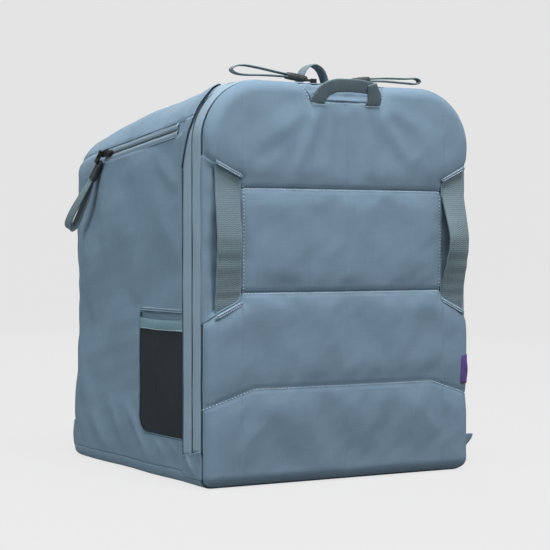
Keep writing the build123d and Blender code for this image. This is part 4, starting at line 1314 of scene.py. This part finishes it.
def shade_cord_along_zip(name, y_centre, height, limit, body):
    """A dark cord of painted shade, not thread, laid in the groove where the zip tape is sewn to a panel."""
    s = np.linspace(-limit, limit, 400)
    wander = 0.45 * ripples(s, 0 * s, 44, 50)
    proud = height - 2.0 * shoulder(s) * (height > -1)
    cord = tube(name, band_points(s, y_centre + wander, proud), 0.95, SEAM_SHADE)
    dress(cord, body, "thread")


body_limit = zip_tape(
    "body_zip_band", BAND_Y, BODY_SLOT_Y, BODY_ZIP_LOW, "bag_body", "body_zip_tape", "body_zip_coil"
)
door_limit = zip_tape(
    "door_zip_band", SEAM_Y, DOOR_SLOT_Y, DOOR_ZIP_LOW, "door", "door_zip_tape", "door_zip_coil"
)
SLOT_Y = (BODY_SLOT_Y + DOOR_SLOT_Y) / 2
zip_teeth("body_zip_teeth", SLOT_Y + 0.7, body_limit, "bag_body", 0.0)
zip_teeth("door_zip_teeth", SLOT_Y - 0.7, door_limit, "door", 1.1)
zip_cord("body_zip_cord", SLOT_Y + 1.3, body_limit, "bag_body")
zip_cord("door_zip_cord", SLOT_Y - 1.3, door_limit, "door")
# dark cords of painted shade in the grooves where the zip tapes meet the panels
shade_cord_along_zip("body_zip_seam_shade_cord", BAND_Y - 0.4, -0.35, body_limit, "bag_body")
shade_cord_along_zip("door_zip_seam_shade_cord", SEAM_Y + 0.6, -1.2, door_limit, "door")

# zip-end tabs: folded cloth from the body panel to the door seam
for side, name in SIDES:
    a = np.linspace(0, 1, 34)[None]
    t = np.linspace(0, 1, 22)[:, None]
    y = BAND_Y + 1.5 + (SEAM_Y - 4 - BAND_Y) * a
    top = BODY_ZIP_LOW - 2 + (DOOR_ZIP_LOW - BODY_ZIP_LOW + 5) * a
    z = BASE_SEAM_Z - 4 + (top - BASE_SEAM_Z + 4) * t
    beside = side_bulge(BAND_Y + 1.5, z, side) + 0.5
    lip = 1.2 * bell(t - 1, 0.10) + 1.4 * smooth(t, 0.6, 1.0) * smooth(a, 0.55, 0.9)
    bulge = beside * (1 - smooth(a, 0, 0.35)) + 1.5 * smooth(a, 0, 0.35)
    bulge = bulge + 1.2 * np.sin(t * math.pi) * np.sin(a * math.pi)
    bulge = bulge + lip + fold(y + 0 * t, z, (-150, 36), (-176, 12), 4, 2.0) - 1.6 * smooth(a, 0.95, 1.0)
    if side > 0:
        bulge = bulge + 15.0 * smooth(a, 0.0, 0.7) * (1 - smooth(a, 0.84, 1.0)) * smooth(t, 0.25, 0.9)
    grid = grid_points(side * (HALF + bulge), y, z)
    tab = sheet(f"{name}_zip_tab", grid, cat_grain(y, z, 4.0), SHELL, outward=(side, 0, 0))
    tab = thicken(tab, 1.2)
    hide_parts(f"{name}_zip_end_tab")
    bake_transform(tab)

# hinge gusset: a bound strip of cloth from the front edge of the base to the rim of the door
FOOT_LEVEL = 26.0
share = np.linspace(0, 1, 200)


def across_foot(corner, middle_z):
    """Points on a line from wall to wall: up one side's corner, level through the middle, and mirrored."""
    half_line = [(1.2 - HALF, 0, FOOT_LEVEL)] + corner
    whole = half_line + [(0, 0, middle_z)] + [(-x, y, z) for x, y, z in half_line[::-1]]
    return along_line(np.array(whole), share)


base_corner = [
    (1.2 + 13 * (1 - math.cos(k)) ** 1.5 - HALF, 0, BASE_SEAM_Z * (1 - math.sin(k)) + 1.0)
    for k in np.linspace(0, math.pi / 2, 9)
]
centre = HALF - DOOR_FOOT_R - 1.2
rim_corner = [
    (-centre - DOOR_FOOT_R * math.cos(k), 0, DOOR_FOOT + 1.2 + DOOR_FOOT_R * (1 - math.sin(k)))
    for k in np.linspace(0.1, math.pi / 2, 9)
]
body_line, rim_line = across_foot(base_corner, 1.0), across_foot(rim_corner, DOOR_FOOT + 1.2)
a = np.linspace(0, 1, 16)[:, None]
y = SEAM_Y + 6 - 10.5 * a
to_rim = smooth(a, 0.35, 0.9)[..., None]
mixed = body_line[None] * (1 - to_rim) + rim_line[None] * to_rim
mixed = grid_points(mixed[..., 0], y, np.maximum(mixed[..., 2], 0.4))
gusset = sheet("hinge_gusset", mixed, cat_grain(share * 440, y, 6.0), SHELL, outward=(0, 0, -1))
thicken(gusset, 1.0)
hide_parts("hinge_binding")
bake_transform(gusset)


# ---------------------------------------------------------------- body haul loop
loop_low, loop_high = node_box("body_haul_loop")
loop_y = (loop_low[1] + loop_high[1]) / 2
loop_top = loop_high[2] - 0.9
knots = [
    (-17, loop_y, TOP - 0.5),
    (-18, loop_y, TOP + 9),
    (-12, loop_y, loop_top - 4),
    (-1, loop_y, loop_top + 1.5),
]
knots += [(10, loop_y, loop_top - 4), (16, loop_y, TOP + 9), (15, loop_y, TOP - 0.5)]
haul_loop = webbing("body_haul_webbing", knots, (0, 1, 0), 19, 2.4, WEBBING)
dress(haul_loop, "bag_body", "webbing", "body_haul_loop")


# ---------------------------------------------------------------- side zip
def left_wall_x(y, z):
    """Position of the left face at height z, which curves inward over the shoulder of the arch."""
    lift = top_lift(y)
    above = max(0.0, z - (TOP - TOP_R + lift))
    drop = float(corner_drop(arch_at_height(z, lift)) * slump(y))
    return -HALF + TOP_R - (TOP_R**2 - above**2) ** 0.5 + drop


zip_start = np.array([left_wall_x(*SIDE_ZIP_A), *SIDE_ZIP_A])
zip_end = np.array([left_wall_x(*SIDE_ZIP_B), *SIDE_ZIP_B])
zip_length = np.linalg.norm(zip_end - zip_start)
zip_along = (zip_end - zip_start) / zip_length
zip_out = np.array([-math.cos(math.radians(10)), 0, math.sin(math.radians(10))])
zip_out -= zip_along * np.dot(zip_out, zip_along)
zip_out /= np.linalg.norm(zip_out)
zip_down = np.cross(zip_out, zip_along)


def on_zip(along, down, out):
    """Points in the frame of the side zip: along it, down across it and out from the wall."""
    return zip_start + along[..., None] * zip_along + down[..., None] * zip_down + out[..., None] * zip_out


side_tapes = []
for edge in (-1, 1):
    u = np.linspace(-1.5, zip_length + 1.5, 90)[:, None]
    a = np.linspace(0, 1, 13)[None]
    down = edge * (0.8 + 7.0 * a)
    out = -0.5 + 1.3 * np.sin(np.clip(a * 1.1, 0, 1) * math.pi)
    out = out - 0.6 * bell(a, 0.12) + 0.2 * ripples(u, down, 51, 40)
    grid = on_zip(u + 0 * a, down + 0 * u, out + 0 * u)
    side_tapes.append(sheet(f"side_tape_{edge}", grid, cat_grain(down, u, 2.0), TAPE, outward=tuple(zip_out)))
side_tape = join("side_zip_band", side_tapes)
dress(thicken(side_tape, 0.8), "bag_body", "zip_tape", "side_zip_tape")
s = np.arange(1, zip_length - 1, 1.1)
down = np.where(np.arange(len(s)) % 2 == 0, -0.5, 0.5)
teeth = capsules(
    "side_zip_teeth", on_zip(s, down, 0 * s - 1.0), np.broadcast_to(zip_down, (len(s), 3)),
    np.broadcast_to(zip_out, (len(s), 3)), 2.6, 0.6, COIL,
)
cord_path = on_zip(np.linspace(0, zip_length, 80), np.zeros(80), np.full(80, -2.2))
cord = tube("side_zip_cord", cord_path, 1.2, COIL)
side_coil = join("side_zip_coil_teeth", [teeth, cord])
dress(side_coil, "bag_body", "zip_coil", "side_zip_coil")
u = np.linspace(3, zip_length + 3, 120)
hem_lines = []
for edge in (1, -1):
    hem_path = on_zip(u, np.full(120, edge * 8.3), 0.2 + 0.2 * np.sin(u / 30))
    hem_lines.append(tube(f"side_hem_{edge}", hem_path, 0.7, SHELL_PLAIN))
dress(join("side_zip_hem", hem_lines), "bag_body", "shell_fabric")


# ---------------------------------------------------------------- pulls
def pull_frame(origin, along, across, up):
    """A function that places coordinates along, across and above a pull whose pin is at origin."""
    outer = np.multiply.outer
    return lambda u, v, w: origin + outer(u, along) + outer(v, across) + outer(w, up)


GRIP_A, GRIP_B = 9.5, 37.0
PIN_HEIGHT = 5.4


def grip(name, at, body, node):
    """A moulded grip: rounded, waisted, with three finger ribs on each face."""
    stations = np.linspace(0, 1, 46)
    turns = np.linspace(0, 2 * math.pi, 28, endpoint=False)
    corner = squarish(np.cos(turns), 0.6), squarish(np.sin(turns), 0.6)
    from_end = np.clip(1 - np.minimum(stations, 1 - stations) / 0.09, 0, 1)
    end_round = np.minimum(1, (1 - from_end**2) ** 0.5 * 0.45 + 0.55)
    waist = 1 - 0.10 * bell(stations - 0.42, 0.2)
    ribs = 0.35 * sum(bell(stations - c, 0.028) for c in (0.5, 0.62, 0.74))
    verts = []
    for a, round_off, w, rib in zip(stations, end_round, waist, ribs):
        half_w = 5.8 * round_off * w * (0.8 + 0.2 * smooth(a, 0, 0.3))
        half_t = GRIP_HALF_T * round_off * (0.8 + 0.2 * smooth(a, 0, 0.35)) + rib * (a > 0.05)
        u = GRIP_A + (GRIP_B - GRIP_A) * a
        verts.append(at(np.full(len(turns), u), corner[0] * half_w, corner[1] * half_t))
    faces = capped_faces(len(stations), len(turns))
    dress(new_object(name, np.vstack(verts), faces, PLASTIC), body, "grip_plastic", node)


def pull_strap(name, at, knots, body, node, across):
    """The doubled webbing loop of a pull, through (u, w) knots of its frame."""
    path = np.array([at(u, 0.0, w) for u, w in knots])
    strap = webbing(name, path, across, 10.0, 1.9, WEBBING, step=1.2)
    dress(strap, body, "webbing", node)


grip_foot, grip_top = (corner[2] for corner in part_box("left_main_pull_grip"))
GRIP_HALF_T = (grip_top - grip_foot) / 2 / MM
pin_z = (grip_top + grip_foot) / 2 / MM
# side views of the three straps: an eye that stands open, one pressed flat, and one that hangs
OPEN_EYE = [
    (35, 1.3), (50, 1.5), (72, 2.2), (92, 1.8), (103, -1.4),
    (107, -5.6), (102, -8.6), (90, -8.6), (62, -4.4), (35, -1.3),
]
FLAT_EYE = [
    (35, 1.3), (60, 0.0), (88, -2.6), (102, -3.4), (107.5, -7.0),
    (103, -9.8), (88, -7.8), (60, -3.6), (35, -1.3),
]
HANGING = [
    (35, 1.1), (58, 3.6), (84, 5.8), (101, 5.0), (107, 0.3),
    (101, -4.2), (82, -4.4), (58, -3.0), (35, -1.1),
]
for side, name, knots in ((-1, "left", OPEN_EYE), (1, "right", FLAT_EYE)):
    tilt = math.radians(7)
    along, up = (side * math.cos(tilt), 0, math.sin(tilt)), (-side * math.sin(tilt), 0, math.cos(tilt))
    at = pull_frame((side * 19.0, SLOT_Y, pin_z), along, (0, 1, 0), up)
    grip(f"{name}_main_grip", at, f"{name}_main_pull", f"{name}_main_pull_grip")
    pull_strap(f"{name}_main_strap", at, knots, f"{name}_main_pull", f"{name}_main_pull_loop", (0, 1, 0))

turn, lean = math.radians(56.0), math.radians(5.0)
hang = zip_along * math.cos(turn) + zip_down * math.sin(turn)
across = zip_down * math.cos(turn) - zip_along * math.sin(turn)
pull_dir = hang * math.cos(lean) + zip_out * math.sin(lean)
side_pin = on_zip(np.array(zip_length - 13.0), np.array(0.0), np.array(PIN_HEIGHT))
up = np.cross(pull_dir, across)
at = pull_frame(side_pin, pull_dir, across, up)
grip("side_grip", at, "side_pull", "side_pull_grip")
twist = np.radians(40 * np.sin(np.linspace(0, math.pi, len(HANGING))))[:, None]
strap_width = across * np.cos(twist) - up * np.sin(twist)
pull_strap("side_strap", at, HANGING, "side_pull", "side_pull_loop", strap_width)


# ---------------------------------------------------------------- side pocket
def on_left(y, z, lift):
    """Points of the left wall at (y, z), raised by lift over the panel's own bulge."""
    lift_z = top_lift(y)
    s = -arch_at_height(z, lift_z)
    return body_surface(s, y, 0.0, side_bulge(y, z, -1) + lift)


def pocket_rear(z):
    """Depth of the pocket's rear edge at height z, rounded at its lower corner."""
    over = np.maximum(POCKET_LOW + POCKET_CORNER - z, 0)
    return POCKET_REAR_Y - (POCKET_CORNER - np.sqrt(np.maximum(POCKET_CORNER**2 - over**2, 0)))


def pocket_sheet(name, z_low, z_high, rows, edge_lift, swell, material, seed):
    """Pocket cloth between two heights, sewn down at its edges and swelling between them."""
    u = np.linspace(0, 1, 46)[None]
    t = np.linspace(0, 1, rows)[:, None]
    t = (1 - np.cos(t * math.pi)) / 2
    z = z_low + (z_high - z_low) * t + 0 * u
    y = BAND_Y + 0.4 + (pocket_rear(z) - 0.6 - BAND_Y) * u
    z = z + (-1.6 * np.sin(u * math.pi)) * smooth(t, 0.6, 1.0)
    lift = edge_lift + swell * np.sin(u * math.pi) ** 0.6 * np.sin(np.clip(t, 0.0, 1) * math.pi) ** 0.6
    lift = lift + 0.35 * ripples(y * 2.2, z * 0.4, seed, 30) * np.sin(u * math.pi)
    return sheet(name, on_left(y, z, lift), cat_grain(y, z, seed), material, outward=(-1, 0, 0))


mesh_sheet = pocket_sheet("pocket_mesh", POCKET_LOW + 0.4, POCKET_BAND_LOW + 1, 60, -0.9, 1.6, MESH, 61)
dress(thicken(mesh_sheet, 0.5), "bag_body", "pocket_mesh", "side_pocket_mesh", "side_pocket_backing")
band_sheet = pocket_sheet("pocket_band", POCKET_BAND_LOW, POCKET_BAND_HIGH, 12, 0.4, 1.0, POCKET_BAND, 62)
dress(thicken(band_sheet, 1.2), "bag_body", "webbing", "side_pocket_band")
edge_z = np.linspace(POCKET_HIGH - 2, POCKET_LOW + POCKET_CORNER, 40)
corner = np.radians(np.linspace(0, 90, 14))
round_y = POCKET_REAR_Y - POCKET_CORNER + POCKET_CORNER * np.cos(corner)
edge_y = np.concatenate([0 * edge_z + POCKET_REAR_Y, round_y])
edge_z = np.concatenate([edge_z, POCKET_LOW + POCKET_CORNER - POCKET_CORNER * np.sin(corner)])
edge_y = np.concatenate([edge_y, np.linspace(POCKET_REAR_Y - POCKET_CORNER, BAND_Y + 1, 30)])
edge_z = np.concatenate([edge_z, 0 * np.linspace(0, 1, 30) + POCKET_LOW])
binding = tube("pocket_binding", on_left(edge_y, edge_z, -0.1), 0.9, DARK_THREAD)
top_lip_path = on_left(np.linspace(BAND_Y + 1, POCKET_REAR_Y - 3, 40), np.full(40, POCKET_HIGH), 0.0)
top_lip = tube("pocket_top_lip", top_lip_path, 0.8, SHELL_PLAIN)
dress(join("pocket_binding", [binding, top_lip]), "bag_body", "shell_fabric")
lip_y = np.linspace(BAND_Y + 3, POCKET_REAR_Y - 6, 50)
pocket_runs = [(on_left(lip_y, 0 * lip_y + POCKET_HIGH + 3, 0.3), (-1, 0, 0))]
lip_z = 0 * lip_y + POCKET_BAND_LOW + 1.6 - 1.4 * np.sin((lip_y - BAND_Y) / 110 * math.pi)
pocket_runs.append((on_left(lip_y, lip_z, 1.0), (-1, 0, 0)))
dress(stitches("pocket_stitches", pocket_runs, THREAD), "bag_body", "thread")


# ---------------------------------------------------------------- harness
STRAP_TOP, STRAP_FOOT = np.array([46.0, 334.0]), np.array([139.0, 40.0])
strap_run = np.linalg.norm(STRAP_FOOT - STRAP_TOP)
STRAP_L, STRAP_W, STRAP_T = 182.0, 62.0, 11.0


def strap_point(side, along, out, across):
    """A point in the frame of a shoulder strap: along it, away from the bag and across it."""
    direction = np.array([side * (STRAP_FOOT - STRAP_TOP)[0], 0, (STRAP_FOOT - STRAP_TOP)[1]]) / strap_run
    wide = np.array([-direction[2], 0, direction[0]])
    origin = np.array([side * STRAP_TOP[0], REAR_Y, STRAP_TOP[1]])
    along, out, across = np.broadcast_arrays(along, out, across)
    rearward = np.array([0, 1.0, 0])
    return origin + along[..., None] * direction + out[..., None] * rearward + across[..., None] * wide


def strap_centre(a):
    """Height of a strap's centre line over the back panel at share a of its length."""
    return STRAP_T / 2 + 1.2 + 8.5 * smooth(a, 0, 0.35) * smooth(1 - a, 0, 0.35)


def strap_pad(name, side):
    """One shoulder strap: a tapering foam pad, swollen by the cloth solver."""
    stations = np.linspace(0, 1, 64)
    turns = np.linspace(0, 2 * math.pi, 40, endpoint=False)
    cx, cy = squarish(np.cos(turns), 0.55), squarish(np.sin(turns), 0.8)
    rings = []
    for a in stations:
        end = min(a, 1 - a)
        round_off = 0.72 + 0.28 * math.sqrt(1 - (1 - min(end / 0.06, 1)) ** 2)
        half_w = STRAP_W / 2 * round_off * (1 - 0.2 * smooth(a, 0.45, 1.0))
        half_t = (STRAP_T / 2 - 1.2) * (0.55 + 0.45 * smooth(end, 0, 0.07))
        out = strap_centre(a) + cy * half_t * (1 - 0.35 * np.abs(cx) ** 4)
        rings.append(strap_point(side, STRAP_L * a, out, cx * half_w))
    pad = new_object(name, np.vstack(rings), capped_faces(len(stations), len(turns)), STRAP_CLOTH)
    remesh = pad.modifiers.new("remesh", "REMESH")
    remesh.mode, remesh.voxel_size = "VOXEL", 0.004
    bpy.context.view_layer.objects.active = pad
    bpy.ops.object.modifier_apply(modifier="remesh")
    puff(pad, np.zeros(len(pad.data.vertices), bool), 4.0, 0.01, 2.2)
    pad.data.polygons.foreach_set("use_smooth", [True] * len(pad.data.polygons))
    pad.modifiers.new("smoother", "SUBSURF").levels = 1
    pad.modifiers["smoother"].render_levels = 1
    return pad


for side, name in SIDES:
    dress(strap_pad(f"{name}_shoulder_pad", side), "bag_body", "strap_pad", f"{name}_shoulder_strap")
    a = np.linspace(0.03, 0.97, 60)
    taper = 1 - 0.2 * smooth(a, 0.45, 1.0)
    half_w = STRAP_W / 2 * taper * (0.93 + 0.07 * smooth(np.minimum(a, 1 - a), 0, 0.06))
    rim_a = np.concatenate([a, a[::-1], a[:1]])
    rim_w = np.concatenate([half_w, -half_w[::-1], half_w[:1]])
    rim = strap_point(side, STRAP_L * rim_a, strap_centre(rim_a), rim_w)
    dress(tube(f"{name}_strap_binding", rim, 1.5, DARK_THREAD), "bag_body", "strap_pad")
    web_a = np.linspace(0.0, 0.95, 30)
    down_web = strap_point(side, STRAP_L * web_a, strap_centre(web_a) + STRAP_T / 2 + 0.9, 0 * web_a)
    wide = strap_point(side, 0.0, 0.0, 1.0) - strap_point(side, 0.0, 0.0, 0.0)
    web = webbing(f"{name}_strap_rib", down_web, wide, 20, 1.3, WEBBING, smooth_path=False)
    dress(web, "bag_body", "webbing")
    lock_rise = STRAP_T / 2 + 1.8
    web_from = STRAP_L + 6.0
    tail = [
        (web_from, lock_rise - 2.6),
        (web_from + 26, lock_rise - 1.2),
        ((web_from + strap_run) / 2 + 12, lock_rise + 2.2),
    ]
    tail += [(strap_run - 16, 9.0), (strap_run - 4, 12.0)]
    path = np.array([strap_point(side, u, w, 0.0) for u, w in tail])
    tail_webbing = webbing(f"{name}_strap_tail", path, wide, 25, 1.5, WEBBING)
    dress(tail_webbing, "bag_body", "webbing", f"{name}_strap_webbing")

yoke_low, yoke_high = node_box("strap_yoke")
x = np.linspace(yoke_low[0], yoke_high[0], 90)[None]
t = np.linspace(0, 1, 14)[:, None]
z = yoke_low[2] + (yoke_high[2] - yoke_low[2]) * t
y = REAR_Y + 1.4 + 1.8 * np.sin(t * math.pi) ** 0.5 * (1 - smooth(np.abs(x), 80, 85))
y = y + 2.0 * (1 - smooth(np.abs(x), 60, 85))
yoke = sheet("strap_yoke_cloth", grid_points(x, y, z), cat_grain(x, z, 8.0), SHELL, outward=BACK)
dress(thicken(yoke, 2.0), "bag_body", "strap_pad", "strap_yoke")
yoke_x = np.linspace(yoke_low[0] + 4, yoke_high[0] - 4, 80)
yoke_y = REAR_Y + 1.4 + 1.5 + 2.0 * (1 - smooth(np.abs(yoke_x), 60, 85))
yoke_runs = [(grid_points(yoke_x, yoke_y, level), BACK) for level in (yoke_low[2] + 3, yoke_high[2] - 3)]
dress(stitches("yoke_stitches", yoke_runs, THREAD), "bag_body", "thread")

wings = []
for side in (-1, 1):
    corner_x, corner_y = HALF - REAR_R, REAR_Y - REAR_R
    plan = curve_through([
        (side * (HALF + 0.2), corner_y - 34, 0), (side * (HALF + 2.2), corner_y - 8, 0),
        (side * (corner_x + 0.74 * (REAR_R + 5)), corner_y + 0.74 * (REAR_R + 5), 0),
        (side * (corner_x - 4), REAR_Y + 11.5, 0), (side * (corner_x - 14), REAR_Y + 12.5, 0),
    ])
    plan, run = resample(plan, 2.0)
    t = np.linspace(0, 1, 16)[None]
    share = (run / run[-1])[:, None]
    low_z = 9 + 5 * share
    high_z = 52 - 16 * share + 0 * t
    z = low_z + (high_z - low_z) * t
    grid = grid_points(plan[:, :1] + side * 1.2 * np.sin(t * math.pi), plan[:, 1:2] + 0.6 * np.sin(t * 5), z)
    wings.append(sheet(f"wing_{side}", grid, cat_grain(run[:, None], z, 9.0), SHELL, outward=(side, 0.4, 0)))
dress(thicken(join("strap_wing_cloth", wings), 1.8), "bag_body", "shell_fabric", "strap_wings")

# ---------------------------------------------------------------- inside
# depth of the lining under the plain outer surface
LINING_IN = 6.9


def lining_sheet(name, grid, grain, outward, body="bag_body", *nodes):
    """A sheet of lining cloth on the inside of a body."""
    return dress(thicken(sheet(name, grid, grain, LINING, outward=outward), 0.7), body, "lining", *nodes)


y = np.linspace(BAND_Y - 20, REAR_Y - LINING_IN, 60)[None]
t = np.linspace(-1, 1, 240)[:, None]
s = arch_at_height(10.0, top_lift(y)) * t
y = np.broadcast_to(y, s.shape)
inset = LINING_IN + 0.6 * ripples(s, y, 71, 80)
walls = body_surface(s, y, LINING_IN, -(inset - LINING_IN))
round_rear = REAR_R - LINING_IN
over = np.maximum(y - (REAR_Y - LINING_IN - round_rear), 0)
pull_in = round_rear - np.sqrt(np.maximum(round_rear**2 - over**2, 0))
width = np.abs(walls[..., 0])
walls[..., 0] *= 1 - pull_in / np.maximum(width, HALF) * smooth(width, 60, 150)
walls[..., 2] -= pull_in * smooth(walls[..., 2], 250, 400)
lining_sheet("lining_walls", walls, cat_grain(s, y, 1.0), (0, 0, 1), "bag_body", "body_lining")
x = np.linspace(-1, 1, 90)[None]
z = np.linspace(9, REAR_TOP - LINING_IN - 4, 100)[:, None]
over = np.maximum(z - (REAR_TOP - TOP_R), 0)
half = HALF - LINING_IN - round_rear * 0.4 - (TOP_R - np.sqrt(np.maximum(TOP_R**2 - over**2, 0)))
x = x * half
y = REAR_Y - LINING_IN - 0.8 + 0.7 * ripples(x, z, 72, 70)
lining_sheet("lining_rear", grid_points(x, y, z), cat_grain(x, z, 2.0), BACK)
x = np.linspace(-HALF + 9, HALF - 9, 80)[None]
y = np.linspace(SEAM_Y + 1.5, REAR_Y - 9, 80)[:, None]
z = LINING_IN + 1.2 + 0.3 * ripples(x, y, 73, 60) + 6 * (1 - smooth(HALF - 9 - np.abs(x), 0, 12))
lining_sheet("lining_floor", grid_points(x, y, z), cat_grain(x, y, 3.0), (0, 0, 1))

board_low, board_high = node_box("base_board")
x = np.linspace(-1, 1, 60)[None]
y = np.linspace(-1, 1, 60)[:, None]
half_x, half_y = (board_high - board_low)[:2] / 2
corner = (np.abs(x) ** 12 + np.abs(y) ** 12) ** (1 / 12)
squeeze = np.maximum(np.maximum(np.abs(x), np.abs(y)), 1e-6) / np.maximum(corner, 1e-6)
z = board_high[2] + 0.6 - 2.4 * smooth(np.maximum(np.abs(x), np.abs(y)), 0.97, 1.0)
z = z + 0.25 * ripples(x * half_x, y * half_y, 74, 70)
board = grid_points(x * half_x * squeeze, y * half_y * squeeze, z)
board_grain = cat_grain(x * half_x, y * half_y, 4.0)
lining_sheet("base_board_cover", board, board_grain, (0, 0, 1), "bag_body", "base_board")

x = np.linspace(-1, 1, 100)[None]
z = np.linspace(DOOR_FOOT + 3, TOP - 3, 120)[:, None]
up = np.maximum(z - (TOP - SOFT_R), 0)
down = np.maximum(DOOR_FOOT + DOOR_FOOT_R - z, 0)
half = HALF - 2 - (SOFT_R - np.sqrt(np.maximum(SOFT_R**2 - up**2, 0)))
half = half - (DOOR_FOOT_R - np.sqrt(np.maximum(DOOR_FOOT_R**2 - down**2, 0)))
x = x * half
quilt = 1.6 * bell(z - QUILT_HIGH, 5) + 1.6 * bell(z - QUILT_LOW, 5) + 1.6 * bell(z - LOW_Z, 5)
y = SEAM_Y - 0.6 - quilt + 0.4 * ripples(x, z, 75, 70)
lining_sheet("door_lining_cloth", grid_points(x, y, z), cat_grain(x, z, 5.0), BACK, "door", "door_lining")
inner_runs = []
for level in (QUILT_HIGH, QUILT_LOW, LOW_Z):
    run_x = np.linspace(-160, 160, 120)
    inner_runs.append((grid_points(run_x, SEAM_Y - 1.6, level), BACK))
dress(stitches("door_lining_stitches", inner_runs, THREAD), "door", "thread")

# ---------------------------------------------------------------- CAD pieces that stay, with their finishes
KEPT = {
    "left_main_slider": METAL, "right_main_slider": METAL, "side_slider": METAL,
    "left_main_pull_link": METAL, "right_main_pull_link": METAL, "side_pull_link": METAL,
    "left_ladder_lock": PLASTIC, "right_ladder_lock": PLASTIC,
}
for node, finish in KEPT.items():
    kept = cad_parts[node]
    kept.data.materials.clear()
    kept.data.materials.append(finish)


# ---------------------------------------------------------------- stage, lights, camera
def stage_bowl():
    """A pale round floor that curves up into a wall, the same from every side."""
    floor_r, curve_r, wall_top = 3.0, 2.5, 6.0
    curve = np.linspace(0.08, math.pi / 2, 18)
    profile = [(0.0, 0.0), (floor_r, 0.0)]
    profile += [(floor_r + curve_r * math.sin(a), curve_r - curve_r * math.cos(a)) for a in curve]
    profile.append((floor_r + curve_r, wall_top))
    turns = np.linspace(0, 2 * math.pi, 96, endpoint=False)
    verts = [(r * math.cos(a) / MM, r * math.sin(a) / MM, z / MM) for r, z in profile for a in turns]
    n = Nodes("stage_paper")
    n.set(n.bsdf, "Base Color", (0.035, 0.035, 0.035, 1))
    n.set(n.bsdf, "Roughness", 1.0)
    n.set(n.bsdf, "Specular IOR Level", 0.0)
    n.set(n.bsdf, "Emission Color", (1, 1, 1, 1))
    seen = n.add("ShaderNodeLightPath").outputs["Is Camera Ray"]
    n.set(n.bsdf, "Emission Strength", n.math("ADD", n.math("MULTIPLY", seen, 0.485), 0.27))
    bowl = new_object("stage_floor", verts, grid_faces(len(profile), len(turns), True), n.material)


def area_light(name, place, target, size, power, colour=(1, 1, 1)):
    """A square soft box that points at target."""
    data = bpy.data.lights.new(name, "AREA")
    data.size, data.energy, data.color = size, power, colour
    light = bpy.data.objects.new(name, data)
    bpy.context.scene.collection.objects.link(light)
    light.location = place
    light.rotation_euler = (Vector(target) - Vector(place)).to_track_quat("-Z", "Y").to_euler()
    return light


stage_bowl()
world = bpy.data.worlds.new("studio")
bpy.context.scene.world = world
world.use_nodes = True
world.node_tree.nodes["Background"].inputs["Color"].default_value = (1, 1, 1, 1)
world.node_tree.nodes["Background"].inputs["Strength"].default_value = 0.44
area_light("overhead_soft_box", (-0.2, -0.9, 2.6), (0, 0, 0.2), 1.2, 98)
area_light("front_soft_box", (0.7, -2.9, 1.9), (0, 0, 0.25), 0.7, 38)
area_light("left_fill", (-2.6, -0.4, 1.3), (0, 0, 0.22), 1.2, 41, (0.93, 1.0, 1.0))
area_light("right_fill", (2.4, -0.8, 1.4), (0, 0, 0.22), 1.4, 12)
area_light("rear_fill", (0.6, 2.6, 1.6), (0, 0, 0.22), 1.4, 34)

camera_data = bpy.data.cameras.new("camera")
camera = bpy.data.objects.new("camera", camera_data)
bpy.context.scene.collection.objects.link(camera)
camera_data.lens, camera_data.sensor_width = 108.66, 36.0
azimuth, elevation, distance = math.radians(-29.4), math.radians(1.1), 2.048
level_run = math.cos(elevation)
back = Vector((math.sin(azimuth) * level_run, -math.cos(azimuth) * level_run, math.sin(elevation)))
right = Vector((math.cos(azimuth), math.sin(azimuth), 0))
aim = right * 0.0143 + Vector((0, -0.010, 0.2301))
camera.location = aim + back * distance
camera.rotation_euler = back.to_track_quat("Z", "Y").to_euler()
camera_data.clip_end = 60
bpy.context.scene.camera = camera
bpy.context.scene.view_settings.view_transform = "Standard"
